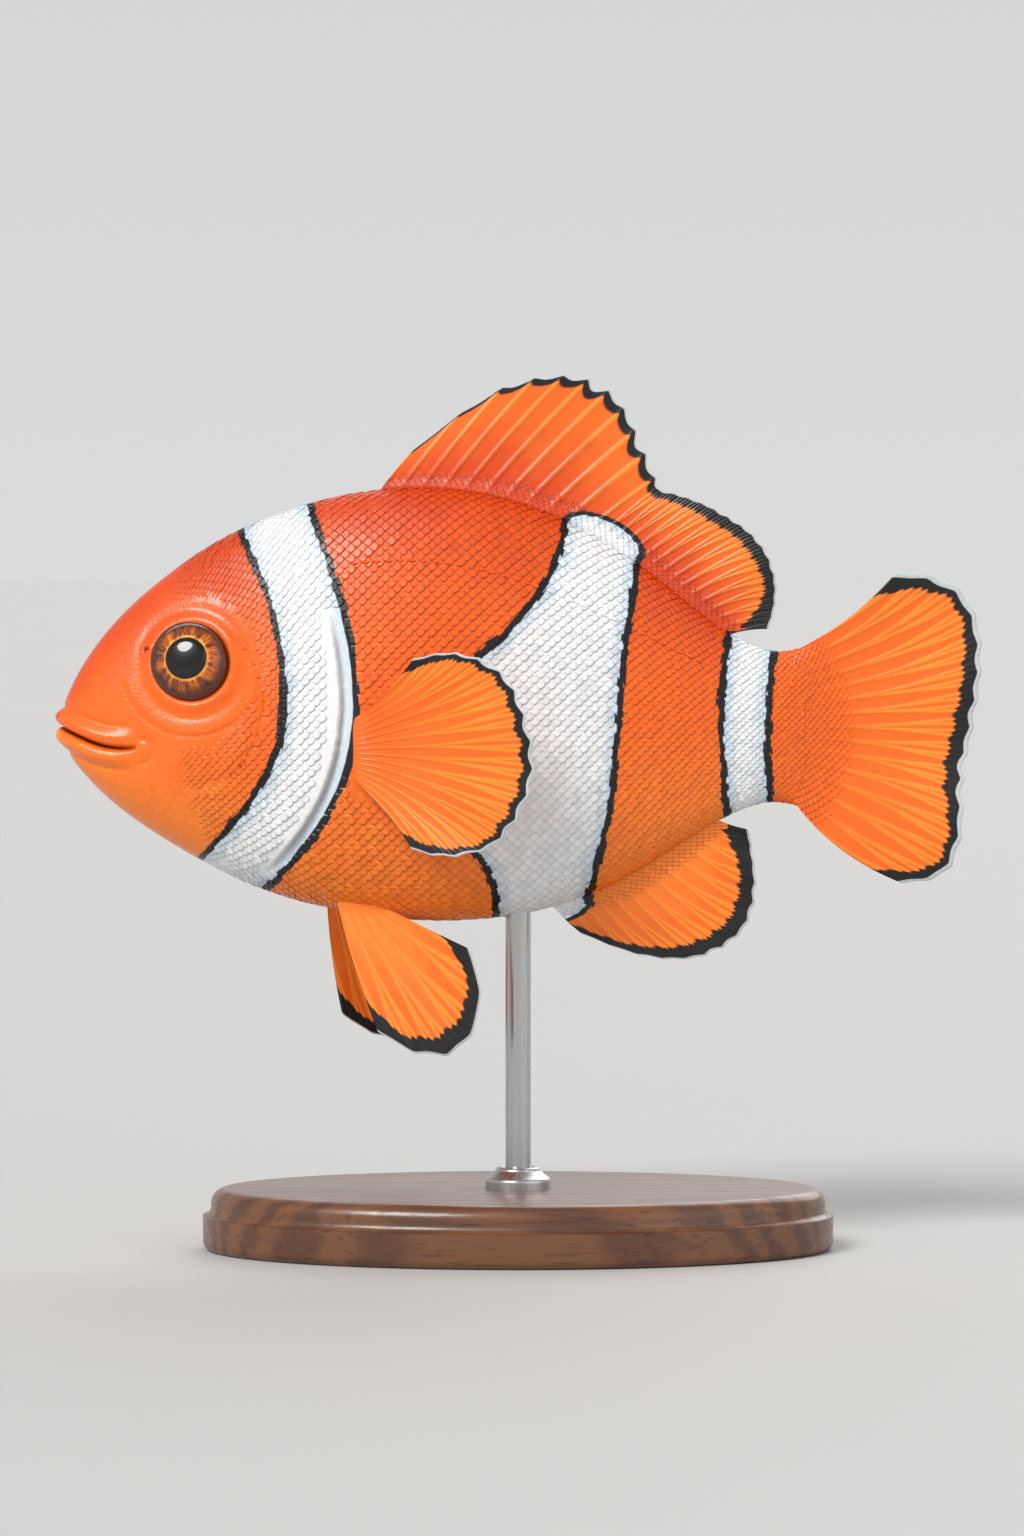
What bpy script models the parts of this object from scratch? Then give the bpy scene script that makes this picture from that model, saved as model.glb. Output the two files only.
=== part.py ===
"""Three-barred anemone clownfish, a life-size display model on a plain stand.

Lengths are millimetres until place() turns them into metres. On the fish, s runs from the tip of the snout
to the end of the tail fin, y from its left side to its right, and z up from the body's axis. The fish faces
-X, and the world origin is the middle of the stand's underside.
"""

import math

import bmesh
import bpy
import numpy as np
from mathutils import Euler

MM = 0.001
TOTAL_LENGTH = 90.0
AXIS_HEIGHT = 53.0  # body axis above the table
SEAM = 0.3  # gap between neighbouring pieces
SECTION_POWER = 2.1  # superellipse power of a cross section: 2 is an ellipse

# Cross sections of the body: s, back, belly, level of the greatest width, half width.
STATIONS = (
    (0.0, -1.6, -1.6, -1.6, 0.0),
    (0.5, 0.6, -3.6, -1.9, 1.6),
    (2.0, 3.8, -5.9, -2.6, 3.2),
    (5.0, 8.0, -9.0, -3.6, 4.8),
    (9.5, 12.3, -12.3, -3.4, 6.2),
    (15.0, 16.1, -15.5, -2.0, 7.3),
    (22.0, 19.3, -18.4, -0.9, 8.1),
    (30.0, 21.3, -20.2, -0.5, 8.4),
    (38.0, 21.6, -20.8, -0.4, 8.0),
    (46.0, 20.0, -20.0, -0.5, 6.9),
    (54.0, 16.2, -17.4, -0.8, 5.3),
    (61.0, 11.0, -13.2, -1.2, 3.8),
    (66.5, 7.0, -10.1, -1.6, 2.6),
    (70.5, 5.7, -9.2, -1.8, 1.9),
    (72.5, 6.1, -9.7, -1.8, 1.4),
)

# The rear edge of the head, from nape to throat: z, s.
GILL_LINE = ((22.0, 23.0), (11.0, 27.0), (1.0, 28.6), (-8.0, 26.8), (-15.0, 22.0), (-22.0, 14.5))
GILL_COVER_TOP, GILL_COVER_FOOT = 7.8, -11.6
CHEEK_CENTRE, CHEEK_RADIUS = (11.2, 0.6), 9.0  # arc of the gill covers' front edge
GILL_COVER_DEPTH = 1.5
GILL_COVER_PROUD = 0.3
MOUTH_CORNER = 8.0
JAW_HINGE = (9.4, -7.0)
LIP_HEIGHT, LIP_WIDTH = 0.5, 1.4
STALK_FRONT = 62.5  # s of the cut between trunk and tail stalk

EYE = (13.4, 4.6)  # s and z of the eyes
EYE_RADIUS, EYE_HALF_DEPTH, EYE_PROUD = 4.4, 2.8, 1.05
EYE_TURN, EYE_LIFT = math.radians(12), math.radians(11)  # towards the snout, and upwards

ROOT_DEPTH = 1.6  # how far a fin would reach into the body if the body didn't trim it
RAY_THICK, WEB_THICK, TIP_SHARE = 1.0, 0.6, 0.6

BASE_LENGTH, BASE_WIDTH, BASE_HEIGHT, BASE_BEVEL = 62.0, 38.0, 6.0, 1.2
FOOT_RIM, FOOT_RECESS = 5.0, 0.8  # the underside is hollowed inside a flat rim
ROD_S, ROD_RADIUS = 45.0, 1.25
COLLAR_RADIUS, COLLAR_HEIGHT, COLLAR_BEVEL = 3.2, 1.8, 0.4


def spline(knots, values, at):
    """Natural cubic spline through (knots, values), read at the given places."""
    x, y, at = (np.asarray(a, float) for a in (knots, values, at))
    h = np.diff(x)
    n = len(x)
    system, right = np.eye(n), np.zeros(n)
    for i in range(1, n - 1):
        system[i, i - 1 : i + 2] = h[i - 1], 2 * (h[i - 1] + h[i]), h[i]
        right[i] = 6 * ((y[i + 1] - y[i]) / h[i] - (y[i] - y[i - 1]) / h[i - 1])
    bend = np.linalg.solve(system, right)
    i = np.clip(np.searchsorted(x, at) - 1, 0, n - 2)
    a, b = (x[i + 1] - at) / h[i], (at - x[i]) / h[i]
    curve = ((a**3 - a) * bend[i] + (b**3 - b) * bend[i + 1]) * h[i] ** 2 / 6
    return a * y[i] + b * y[i + 1] + curve


def even_spline(values, at):
    """The same for values at even steps, with at from 0 to 1."""
    return spline(np.linspace(0, 1, len(values)), values, at)


class Body:
    """The body's outline and cross sections. u runs from 0 at the snout to 1 at the tail root."""

    def __init__(self):
        s, back, belly, mid, half = (np.array(column) for column in zip(*STATIONS, strict=True))
        steps = np.hypot(np.diff(s), np.diff(back))
        u = np.concatenate([[0], np.cumsum(steps)])
        # Mirrored about the snout, so that the outline rounds it smoothly.
        self.knots = np.concatenate([-u[:0:-1], u]) / u[-1]
        self.s = np.concatenate([s[:0:-1], s])
        self.outline = np.concatenate([belly[:0:-1], back])
        self.mid = np.concatenate([mid[:0:-1], mid])
        self.half = np.concatenate([-half[:0:-1], half])
        self.dense = self.section(np.linspace(0, 1, 1500))

    def section(self, u):
        """s, back, belly, mid and half width at u."""
        u = np.asarray(u, float)
        read = ((self.s, u), (self.outline, u), (self.outline, -u), (self.mid, u), (self.half, u))
        return [spline(self.knots, values, at) for values, at in read]

    def at(self, s):
        """back, belly, mid and half width at a distance from the snout."""
        return [np.interp(s, self.dense[0], column) for column in self.dense[1:]]

    def side(self, s, z):
        """How far the flank stands out from the middle plane at (s, z)."""
        back, belly, mid, half = self.at(s)
        reach = np.where(z > mid, back - mid, mid - belly)
        share = np.clip(np.abs((z - mid) / reach), 0, 1)
        return half * (1 - share**SECTION_POWER) ** (1 / SECTION_POWER)


BODY = Body()


def lip_relief(s, z, mid):
    """How far the lips swell out of the snout, on either side of the line of the mouth."""
    along = np.clip(1 - (s / MOUTH_CORNER) ** 4, 0, 1)
    across = (np.abs(z - mid) - 0.6 * LIP_WIDTH) / (0.55 * LIP_WIDTH)
    return along * LIP_HEIGHT * np.exp(-(across**2))


def body_grid(columns, ring, grow=0.0, u_range=(0.0, 1.0)):
    """Rings of points round the body, from front to back, swollen by grow."""
    start, end = u_range
    s, back, belly, mid, half = BODY.section(start + (end - start) * np.linspace(0, 1, columns) ** 1.25)
    around = np.linspace(0, 2 * math.pi, ring, endpoint=False)
    up, out = np.sin(around), np.cos(around)
    power = 2 / SECTION_POWER
    reach = np.where(up > 0, (back - mid)[:, None], (mid - belly)[:, None])
    x = np.repeat(s[:, None], ring, axis=1)
    y = half[:, None] * np.sign(out) * np.abs(out) ** power
    z = mid[:, None] + reach * np.sign(up) * np.abs(up) ** power
    swell = grow + lip_relief(x, z, mid[:, None])
    widest = s[np.argmax(half)]
    forward = (np.clip(1 - half / half.max(), 0, 1) * (s < widest))[:, None]
    return np.stack([x - swell * forward, y + swell * out, z + swell * up], axis=-1)


def tube_faces(columns, ring):
    """Quads between rings of points, with an n-gon at each end."""
    faces = []
    for i in range(columns - 1):
        for j in range(ring):
            k = (j + 1) % ring
            faces.append((i * ring + j, i * ring + k, (i + 1) * ring + k, (i + 1) * ring + j))
    faces.append(tuple(range(ring - 1, -1, -1)))
    faces.append(tuple(range((columns - 1) * ring, columns * ring)))
    return faces


def material(name, colour, roughness, metallic=0.0):
    made = bpy.data.materials.new(name)
    made.use_nodes = True
    shader = made.node_tree.nodes["Principled BSDF"]
    shader.inputs["Base Color"].default_value = (*colour, 1)
    shader.inputs["Roughness"].default_value = roughness
    shader.inputs["Metallic"].default_value = metallic
    made.diffuse_color = (*colour, 1)
    return made


def place(shape, name, finish, parent, location=(0, 0, 0), rotation=(0, 0, 0)):
    """An object from a bmesh in millimetres, at a place in millimetres."""
    bmesh.ops.remove_doubles(shape, verts=shape.verts, dist=0.001)
    bmesh.ops.recalc_face_normals(shape, faces=shape.faces)
    bmesh.ops.scale(shape, vec=(MM, MM, MM), verts=shape.verts)
    mesh = bpy.data.meshes.new(name)
    shape.to_mesh(mesh)
    shape.free()
    mesh.shade_smooth()
    mesh.set_sharp_from_angle(angle=math.radians(40))
    if finish:
        mesh.materials.append(finish)
    made = bpy.data.objects.new(name, mesh)
    bpy.context.scene.collection.objects.link(made)
    made.parent = parent
    made.location = [length * MM for length in location]
    made.rotation_euler = rotation
    return made


def mesh_object(name, points, faces, finish=None):
    """A piece of the fish from points on the fish's own axes."""
    shape = bmesh.new()
    corners = [shape.verts.new(point) for point in np.asarray(points, float).reshape(-1, 3)]
    for face in faces:
        shape.faces.new([corners[k] for k in face])
    return place(shape, name, finish, FISH)


def cutter(made):
    made.hide_render = True
    made.display_type = "WIRE"
    return made


def boolean(made, operation, tool):
    modifier = made.modifiers.new(f"{operation.lower()}_{tool.name}", "BOOLEAN")
    modifier.operation = operation
    modifier.object = tool


def bevel(made, width, segments):
    modifier = made.modifiers.new("bevel", "BEVEL")
    modifier.width = width * MM
    modifier.segments = segments


def prism(name, outline, low=-15.0, high=15.0):
    """A cutter from an outline of (s, z) points, spanning low to high across the fish."""
    n = len(outline)
    points = [(s, y, z) for y in (low, high) for s, z in outline]
    faces = [tuple(range(n)), tuple(range(2 * n - 1, n - 1, -1))]
    faces += [(i, (i + 1) % n, n + (i + 1) % n, n + i) for i in range(n)]
    return cutter(mesh_object(name, points, faces))


def body_tube(name, columns=27, ring=32, grow=0.0, u_range=(0.0, 1.0), finish=None):
    points = body_grid(columns, ring, grow, u_range)
    return mesh_object(name, points, tube_faces(columns, ring), finish)


def gill_points(top, foot, offset, count):
    """The head's rear edge between two heights, moved back by offset."""
    levels, places = (np.array(column) for column in zip(*GILL_LINE, strict=True))
    z = np.linspace(top, foot, count)
    return list(zip(spline(-levels, places, -z) + offset, z, strict=True))


def mouth_points(offset):
    """The line of the mouth from in front of the snout to its corner."""
    s = np.linspace(0.4, MOUTH_CORNER, 7)
    z = BODY.at(s)[2] + offset
    return [(-4.0, z[0]), *zip(s, z, strict=True)]


def jaw_outline(grow):
    """The lower jaw: below the line of the mouth and in front of its hinge."""
    hinge_s, hinge_z = JAW_HINGE
    return [*mouth_points(grow), (hinge_s + grow, hinge_z), (hinge_s - 1.5 + grow, -17.0), (-4.0, -17.0)]


def gill_cover_outline():
    """A gill cover: from the arc of the cheek to just inside the head's rear edge."""
    rear = gill_points(GILL_COVER_TOP, GILL_COVER_FOOT, -0.8, 12)
    centre_s, centre_z = CHEEK_CENTRE
    angles = np.radians(np.linspace(-52, 42, 8))
    arc = CHEEK_RADIUS * np.stack([np.cos(angles), np.sin(angles)], axis=1)
    return [*rear, *(arc + (centre_s, centre_z))]


def grown(outline, distance):
    """A clockwise outline with every side moved outwards by distance."""
    corners = np.array(outline)
    side = np.roll(corners, -1, axis=0) - corners
    side /= np.linalg.norm(side, axis=1)[:, None]
    outward = np.stack([-side[:, 1], side[:, 0]], axis=1)
    both = outward + np.roll(outward, 1, axis=0)
    miter = 2 * both / (both**2).sum(axis=1)[:, None]
    return corners + distance * miter


def eyeball(name, side, grow=0.0, finish=None):
    """A flattened ball that faces outwards, a little forwards and upwards."""
    s, z = EYE
    y = float(BODY.side(s, z)) + EYE_PROUD - EYE_HALF_DEPTH
    shape = bmesh.new()
    bmesh.ops.create_uvsphere(shape, u_segments=18, v_segments=10, radius=1)
    radius = EYE_RADIUS + grow
    bmesh.ops.scale(shape, vec=(radius, radius, EYE_HALF_DEPTH + grow), verts=shape.verts)
    tilt = Euler((side * -(math.pi / 2 - EYE_LIFT), 0, side * EYE_TURN))
    return place(shape, name, finish, FISH, (s, side * y, z), tilt)


def make_eyes(finish):
    """Both eyes, and the sockets that the head keeps clear for them."""
    sockets = []
    for label, side in (("left", -1), ("right", 1)):
        eyeball(f"eye_{label}", side, finish=finish)
        sockets.append(cutter(eyeball(f"socket_{label}", side, grow=SEAM)))
    return sockets


def make_gill_covers(finish):
    """Both gill covers, and the recesses in the head that hold them."""
    u_range = (0.16, 0.52)
    floor = cutter(body_tube("gill_floor", 10, 32, -GILL_COVER_DEPTH, u_range))
    seat = cutter(body_tube("gill_seat", 10, 32, -GILL_COVER_DEPTH - SEAM, u_range))
    recesses = []
    outline = gill_cover_outline()
    for label, low, high in (("left", -15, -1), ("right", 1, 15)):
        cover = body_tube(f"gill_cover_{label}", 18, 32, GILL_COVER_PROUD, u_range, finish)
        boolean(cover, "INTERSECT", prism(f"gill_outline_{label}", grown(outline, -SEAM / 2), low, high))
        boolean(cover, "DIFFERENCE", floor)
        recess = prism(f"gill_recess_{label}", grown(outline, SEAM / 2), low, high)
        boolean(recess, "DIFFERENCE", seat)
        recesses.append(recess)
    return recesses


def make_body(finish):
    """Head, lower jaw, trunk and tail stalk, parted by thin cuts through one shape."""
    gap = SEAM / 2
    above, below = 26.0, -26.0
    head = body_tube("head", finish=finish)
    edge = gill_points(above, below, -gap, 21)
    boolean(head, "INTERSECT", prism("head_region", [(-8.0, above), *edge, (-8.0, below)]))
    boolean(head, "DIFFERENCE", prism("jaw_region", jaw_outline(gap)))
    for tool in (*make_eyes(EYE_FINISH), *make_gill_covers(finish)):
        boolean(head, "DIFFERENCE", tool)

    jaw = body_tube("lower_jaw", finish=finish)
    boolean(jaw, "INTERSECT", prism("jaw_shape", jaw_outline(-gap)))

    trunk = body_tube("trunk", finish=finish)
    edge = gill_points(above, below, gap, 21)
    cut = [(STALK_FRONT - gap - 1.5, below), (STALK_FRONT - gap + 1.5, above)]
    boolean(trunk, "INTERSECT", prism("trunk_region", [*edge, *cut]))

    stalk = body_tube("tail_stalk", finish=finish)
    cut = [(STALK_FRONT + gap + 1.5, above), (STALK_FRONT + gap - 1.5, below)]
    rear = [(TOTAL_LENGTH, below), (TOTAL_LENGTH, above)]
    boolean(stalk, "INTERSECT", prism("stalk_region", [*cut, *rear]))


def ray_paths(roots, lengths, start_lean, tip_lean, rows):
    """Points along each fin ray in a flat fan: a curve that leaves its root at start_lean, and whose tip is
    its length away at tip_lean. Leans are degrees above the tailward direction."""
    t = np.linspace(0, 1, rows)[None, :, None]
    start, tip = (np.radians(lean)[:, None] for lean in (start_lean, tip_lean))
    heading = np.concatenate([np.cos(start), np.sin(start)], axis=1)
    reach = np.concatenate([np.cos(tip), np.sin(tip)], axis=1) * lengths[:, None]
    control = roots + heading * lengths[:, None] / 2
    first, middle, last = (points[:, None, :] for points in (roots, control, roots + reach))
    return (1 - t) ** 2 * first + 2 * t * (1 - t) * middle + t**2 * last


def fan(rays, root_line, lengths, start_lean, tip_lean, rows=5, notch=0.03):
    """A fin's middle surface as (columns, rows, 2) points: a column on each ray and one on the web between
    rays, whose edge falls short of the ray tips by the notch. Its roots lie ROOT_DEPTH inside root_line."""
    columns = 2 * rays - 1
    along = np.linspace(0, 1, columns)
    lengths, start, tip = (even_spline(values, along) for values in (lengths, start_lean, tip_lean))
    lengths = lengths * np.where(np.arange(columns) % 2, 1 - notch, 1)
    heading = np.stack([np.cos(np.radians(start)), np.sin(np.radians(start))], axis=1)
    roots = np.stack(root_line(along), axis=1) - heading * ROOT_DEPTH
    return ray_paths(roots, lengths + ROOT_DEPTH, start, tip, rows)


def plate_faces(columns, rows):
    """Both sides and the rim of a plate whose second side follows the first in the list of points."""
    count = columns * rows
    faces = []
    for i in range(columns - 1):
        for j in range(rows - 1):
            quad = (i * rows + j, (i + 1) * rows + j, (i + 1) * rows + j + 1, i * rows + j + 1)
            faces.append(quad)
            faces.append(tuple(count + k for k in reversed(quad)))
    rim = [i * rows for i in range(columns)]
    rim += [(columns - 1) * rows + j for j in range(1, rows)]
    rim += [i * rows + rows - 1 for i in range(columns - 2, -1, -1)]
    rim += range(rows - 2, 0, -1)
    for a, b in zip(rim, rim[1:] + rim[:1], strict=True):
        faces.append((b, a, count + a, count + b))
    return faces


def plate(name, surface, normal, finish):
    """A solid fin from its middle surface in space, thick on the rays and thin on the web between them."""
    columns, rows = surface.shape[:2]
    on_ray = (np.arange(columns) % 2 == 0)[:, None]
    taper = np.linspace(1, TIP_SHARE, rows)[None, :]
    half = np.where(on_ray, RAY_THICK * taper, WEB_THICK * np.sqrt(taper))[:, :, None] / 2
    offset = normal * np.maximum(half, 0.25)
    points = np.stack([surface + offset, surface - offset])
    fin = mesh_object(name, points, plate_faces(columns, rows), finish)
    boolean(fin, "DIFFERENCE", BODY_CLEARANCE)


def upright_fin(name, surface, finish, sway):
    """A fin in the fish's middle plane, whose edge sways gently from side to side."""
    columns, rows = surface.shape[:2]
    across = np.linspace(0, 1, columns)[:, None]
    out = np.linspace(0, 1, rows)[None, :]
    y = sway * out**2 * np.sin(2 * math.pi * across)
    points = np.stack([surface[..., 0], y, surface[..., 1]], axis=-1)
    plate(name, points, np.array([0.0, 1.0, 0.0]), finish)


def back_line(start, end):
    return lambda share: (start + (end - start) * share, BODY.at(start + (end - start) * share)[0])


def belly_line(start, end):
    return lambda share: (start + (end - start) * share, BODY.at(start + (end - start) * share)[1])


def straight(start, end, bulge=0.0):
    """The line from one (s, z) point to another, bulging tailwards in its middle."""
    return lambda share: (
        start[0] + (end[0] - start[0]) * share + bulge * np.sin(math.pi * share),
        start[1] + (end[1] - start[1]) * share,
    )


def make_middle_fins(finish):
    spines = fan(
        rays=11,
        root_line=back_line(31.6, 51.9),
        lengths=(5.0, 11.6, 14.4, 15.1, 13.9, 11.2, 8.4),
        start_lean=(58, 56, 54, 51, 48, 45, 43),
        tip_lean=(52, 52, 50, 48, 45, 42, 39),
        notch=0.05,
    )
    upright_fin("dorsal_fin_spines", spines, finish, sway=0.3)
    soft = fan(
        rays=14,
        root_line=back_line(52.4, 65.8),
        lengths=(7.1, 8.5, 9.4, 9.8, 9.0, 6.8, 3.6),
        start_lean=(43, 42, 40, 38, 35, 31, 26),
        tip_lean=(39, 37, 34, 30, 25, 19, 12),
    )
    upright_fin("dorsal_fin_soft", soft, finish, sway=0.7)
    tail = fan(
        rays=15,
        root_line=straight((72.0, 5.6), (72.0, -9.2), bulge=0.8),
        lengths=(12.4, 17.4, 18.6, 17.8, 16.8, 16.2, 16.9, 17.0, 13.1),
        start_lean=(22, 16, 10, 5, 0, -5, -13, -30, -58),
        tip_lean=(36, 28, 18, 9, 0, -9, -19, -30, -39),
        rows=6,
        notch=0.02,
    )
    upright_fin("tail_fin", tail, finish, sway=0.9)
    anal = fan(
        rays=14,
        root_line=belly_line(48.4, 64.6),
        lengths=(3.8, 8.2, 10.8, 11.6, 10.3, 6.9, 3.0),
        start_lean=(-54, -51, -48, -44, -40, -35, -30),
        tip_lean=(-46, -44, -41, -37, -32, -26, -20),
    )
    upright_fin("anal_fin", anal, finish, sway=-0.6)


def paired_fin(name, side, surface, origin, axes, cup, finish):
    """A fin on the flank. Its fan opens about the origin in the plane of the first two axes, and curls along
    the third towards its edge by the cup."""
    rows = surface.shape[1]
    out, up, normal = axes
    flat = surface - origin[[0, 2]]
    curl = cup * np.linspace(0, 1, rows)[None, :, None] ** 2
    points = origin + flat[..., :1] * out + flat[..., 1:] * up + curl * normal
    plate(name, points * (1, side, 1), normal * (1, side, 1), finish)


def make_pectoral_fins(finish):
    """The pectoral fins are held out from the flanks, behind the gill covers."""
    splay = math.radians(32)
    out = (math.cos(splay), math.sin(splay), 0)
    normal = (-math.sin(splay), math.cos(splay), 0)
    axes = np.array([out, (0, 0, 1), normal])
    top, foot = (29.6, -0.6), (30.0, -7.2)
    surface = fan(
        rays=15,
        root_line=straight(top, foot),
        lengths=(9.0, 15.2, 19.2, 20.4, 19.3, 15.0, 8.6),
        start_lean=(30, 21, 11, 0, -11, -22, -34),
        tip_lean=(38, 28, 15, 0, -15, -29, -42),
        notch=0.015,
    )
    s, z = (top[0] + foot[0]) / 2, (top[1] + foot[1]) / 2
    origin = np.array([s, float(BODY.side(s, z)), z])
    for label, side in (("left", -1), ("right", 1)):
        paired_fin(f"pectoral_fin_{label}", side, surface, origin, axes, 1.2, finish)


def make_pelvic_fins(finish):
    """The pelvic fins hang under the breast. The right one is swung further forward than the left."""
    for label, side, splay, swing, ahead in (("left", -1, 16, 8, 0.5), ("right", 1, 32, 20, 1.6)):
        lean = math.radians(splay)
        up = (0, -math.sin(lean), math.cos(lean))
        axes = np.array([(1, 0, 0), up, (0, math.cos(lean), math.sin(lean))])
        front, rear = (27.8 - ahead, -18.7), (32.0 - ahead, -19.1)
        surface = fan(
            rays=6,
            root_line=straight(front, rear),
            lengths=(13.4, 16.4, 17.6, 16.8, 13.7, 9.6),
            start_lean=np.array([-70, -63, -55, -46, -33, -20]) - swing,
            tip_lean=np.array([-65, -58, -51, -43, -31, -18]) - swing,
            notch=0.02,
        )
        origin = np.array([(front[0] + rear[0]) / 2, 2.4, front[1]])
        paired_fin(f"pelvic_fin_{label}", side, surface, origin, axes, -0.8, finish)


def disc(name, length, width, height, level, s, finish=None, segments=32):
    """An upright oval disc standing at a level above the table."""
    shape = bmesh.new()
    bmesh.ops.create_cone(shape, cap_ends=True, segments=segments, radius1=0.5, radius2=0.5, depth=1)
    bmesh.ops.scale(shape, vec=(length, width, height), verts=shape.verts)
    return place(shape, name, finish, None, (s - TOTAL_LENGTH / 2, 0, level + height / 2))


def make_stand(wood, steel):
    """An oval base, a collar on it and a rod up to the belly."""
    middle = TOTAL_LENGTH / 2
    base = disc("stand_base", BASE_LENGTH, BASE_WIDTH, BASE_HEIGHT, 0, middle, wood, segments=42)
    bevel(base, BASE_BEVEL, 3)
    inner = (BASE_LENGTH - 2 * FOOT_RIM, BASE_WIDTH - 2 * FOOT_RIM)
    hollow = disc("foot_hollow", *inner, 2 * FOOT_RECESS, -FOOT_RECESS, middle)
    boolean(base, "DIFFERENCE", cutter(hollow))

    floor = BASE_HEIGHT + SEAM
    wide, thick, clear = 2 * COLLAR_RADIUS, 2 * ROD_RADIUS, 2 * (ROD_RADIUS + SEAM)
    collar = disc("stand_collar", wide, wide, COLLAR_HEIGHT, floor, ROD_S, steel, segments=20)
    bevel(collar, COLLAR_BEVEL, 2)
    bore = disc("collar_bore", clear, clear, 3 * COLLAR_HEIGHT, floor - COLLAR_HEIGHT, ROD_S, segments=20)
    boolean(collar, "DIFFERENCE", cutter(bore))

    reach = AXIS_HEIGHT + float(BODY.at(ROD_S)[1]) + 3.0 - floor
    rod = disc("stand_rod", thick, thick, reach, floor, ROD_S, steel, segments=20)
    boolean(rod, "DIFFERENCE", BODY_CLEARANCE)


for leftover in list(bpy.data.objects):
    bpy.data.objects.remove(leftover)

FISH = bpy.data.objects.new("fish", None)
FISH.location = (-TOTAL_LENGTH / 2 * MM, 0, AXIS_HEIGHT * MM)
bpy.context.scene.collection.objects.link(FISH)

SKIN_FINISH = material("skin", (0.80, 0.16, 0.02), 0.42)
FIN_FINISH = material("fin", (0.72, 0.12, 0.015), 0.40)
EYE_FINISH = material("eye", (0.03, 0.02, 0.015), 0.06)
WOOD_FINISH = material("wood", (0.10, 0.045, 0.02), 0.35)
STEEL_FINISH = material("steel", (0.62, 0.62, 0.60), 0.25, metallic=1.0)
BODY_CLEARANCE = cutter(body_tube("body_clearance", 27, 32, SEAM))

make_body(SKIN_FINISH)
make_middle_fins(FIN_FINISH)
make_pectoral_fins(FIN_FINISH)
make_pelvic_fins(FIN_FINISH)
make_stand(WOOD_FINISH, STEEL_FINISH)
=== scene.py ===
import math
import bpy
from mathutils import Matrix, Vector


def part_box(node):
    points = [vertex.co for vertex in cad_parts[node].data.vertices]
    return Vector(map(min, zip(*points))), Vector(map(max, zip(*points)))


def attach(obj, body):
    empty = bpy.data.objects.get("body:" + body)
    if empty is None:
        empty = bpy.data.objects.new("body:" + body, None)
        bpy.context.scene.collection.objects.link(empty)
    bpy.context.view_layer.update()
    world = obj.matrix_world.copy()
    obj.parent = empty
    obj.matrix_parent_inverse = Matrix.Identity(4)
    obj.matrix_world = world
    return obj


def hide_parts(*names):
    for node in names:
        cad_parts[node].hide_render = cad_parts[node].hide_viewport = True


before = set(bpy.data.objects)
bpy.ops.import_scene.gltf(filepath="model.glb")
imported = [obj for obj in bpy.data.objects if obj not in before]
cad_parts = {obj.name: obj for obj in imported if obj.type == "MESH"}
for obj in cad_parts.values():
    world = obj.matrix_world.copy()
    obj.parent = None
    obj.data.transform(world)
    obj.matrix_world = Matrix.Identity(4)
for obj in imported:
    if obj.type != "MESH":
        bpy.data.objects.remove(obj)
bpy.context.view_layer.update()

# A clownfish on its stand: one skin, its scales, fins, eyes and the stand, over the solids. Lengths are
# millimetres until piece() turns them into metres. On the fish, s runs from the tip of the snout to the end
# of the tail fin, y from its left side to its right, and z up from the body's axis.

from types import SimpleNamespace

import bpy
import numpy as np
from mathutils import Vector

MM = 0.001
TOTAL_LENGTH = 90.0
AXIS_HEIGHT = 53.0
SECTION_POWER = 2.1

# The cross sections of the solids, and two more where the flesh thins out on the rays of the tail fin:
# s, back, belly, level of the greatest width, half width.
STATIONS = (
    (0.0, -1.6, -1.6, -1.6, 0.0),
    (0.5, 0.6, -3.6, -1.9, 1.6),
    (2.0, 3.8, -5.9, -2.6, 3.2),
    (5.0, 8.0, -9.0, -3.6, 4.8),
    (9.5, 12.3, -12.3, -3.4, 6.2),
    (15.0, 16.1, -15.5, -2.0, 7.3),
    (22.0, 19.3, -18.4, -0.9, 8.1),
    (30.0, 21.3, -20.2, -0.5, 8.4),
    (38.0, 21.6, -20.8, -0.4, 8.0),
    (46.0, 20.0, -20.0, -0.5, 6.9),
    (54.0, 16.2, -17.4, -0.8, 5.3),
    (61.0, 11.0, -13.2, -1.2, 3.8),
    (66.5, 7.0, -10.1, -1.6, 2.6),
    (70.5, 5.7, -9.2, -1.8, 1.9),
    (72.5, 6.0, -9.6, -1.8, 1.35),
    (75.0, 6.5, -10.2, -1.9, 0.54),
    (77.0, 7.1, -10.9, -2.0, 0.02),
)

# Edges from back to belly as (z, s): the rear edge of the head, and the white bars' front and rear edges.
GILL_LINE = ((22.0, 23.0), (11.0, 27.0), (1.0, 28.6), (-8.0, 26.8), (-15.0, 22.0), (-22.0, 14.5))
BARS = (
    (
        (
            (23, 15.8), (18, 18.0), (14, 19.9), (8, 21.9), (2, 22.7),
            (-4, 22.0), (-9, 19.3), (-13, 16.0), (-20, 8.5),
        ),
        ((23, 23.0), (11, 27.4), (1, 29.0), (-8, 27.2), (-15, 22.4), (-22, 14.9)),
    ),
    (
        (
            (23, 49.6), (18, 49.9), (13.5, 48.6), (9, 45.6), (4.5, 41.2), (1, 38.2),
            (-3, 36.4), (-7, 36.7), (-11, 39.0), (-14, 41.4), (-17, 42.9), (-22, 43.0),
        ),
        ((20, 57.4), (15.8, 56.6), (3.7, 54.8), (-10.9, 53.3), (-17, 51.8), (-22, 50.4)),
    ),
    (((10, 66.4), (0, 65.1), (-11, 65.9)), ((10, 70.2), (-2, 69.0), (-12, 69.6))),
)

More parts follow.
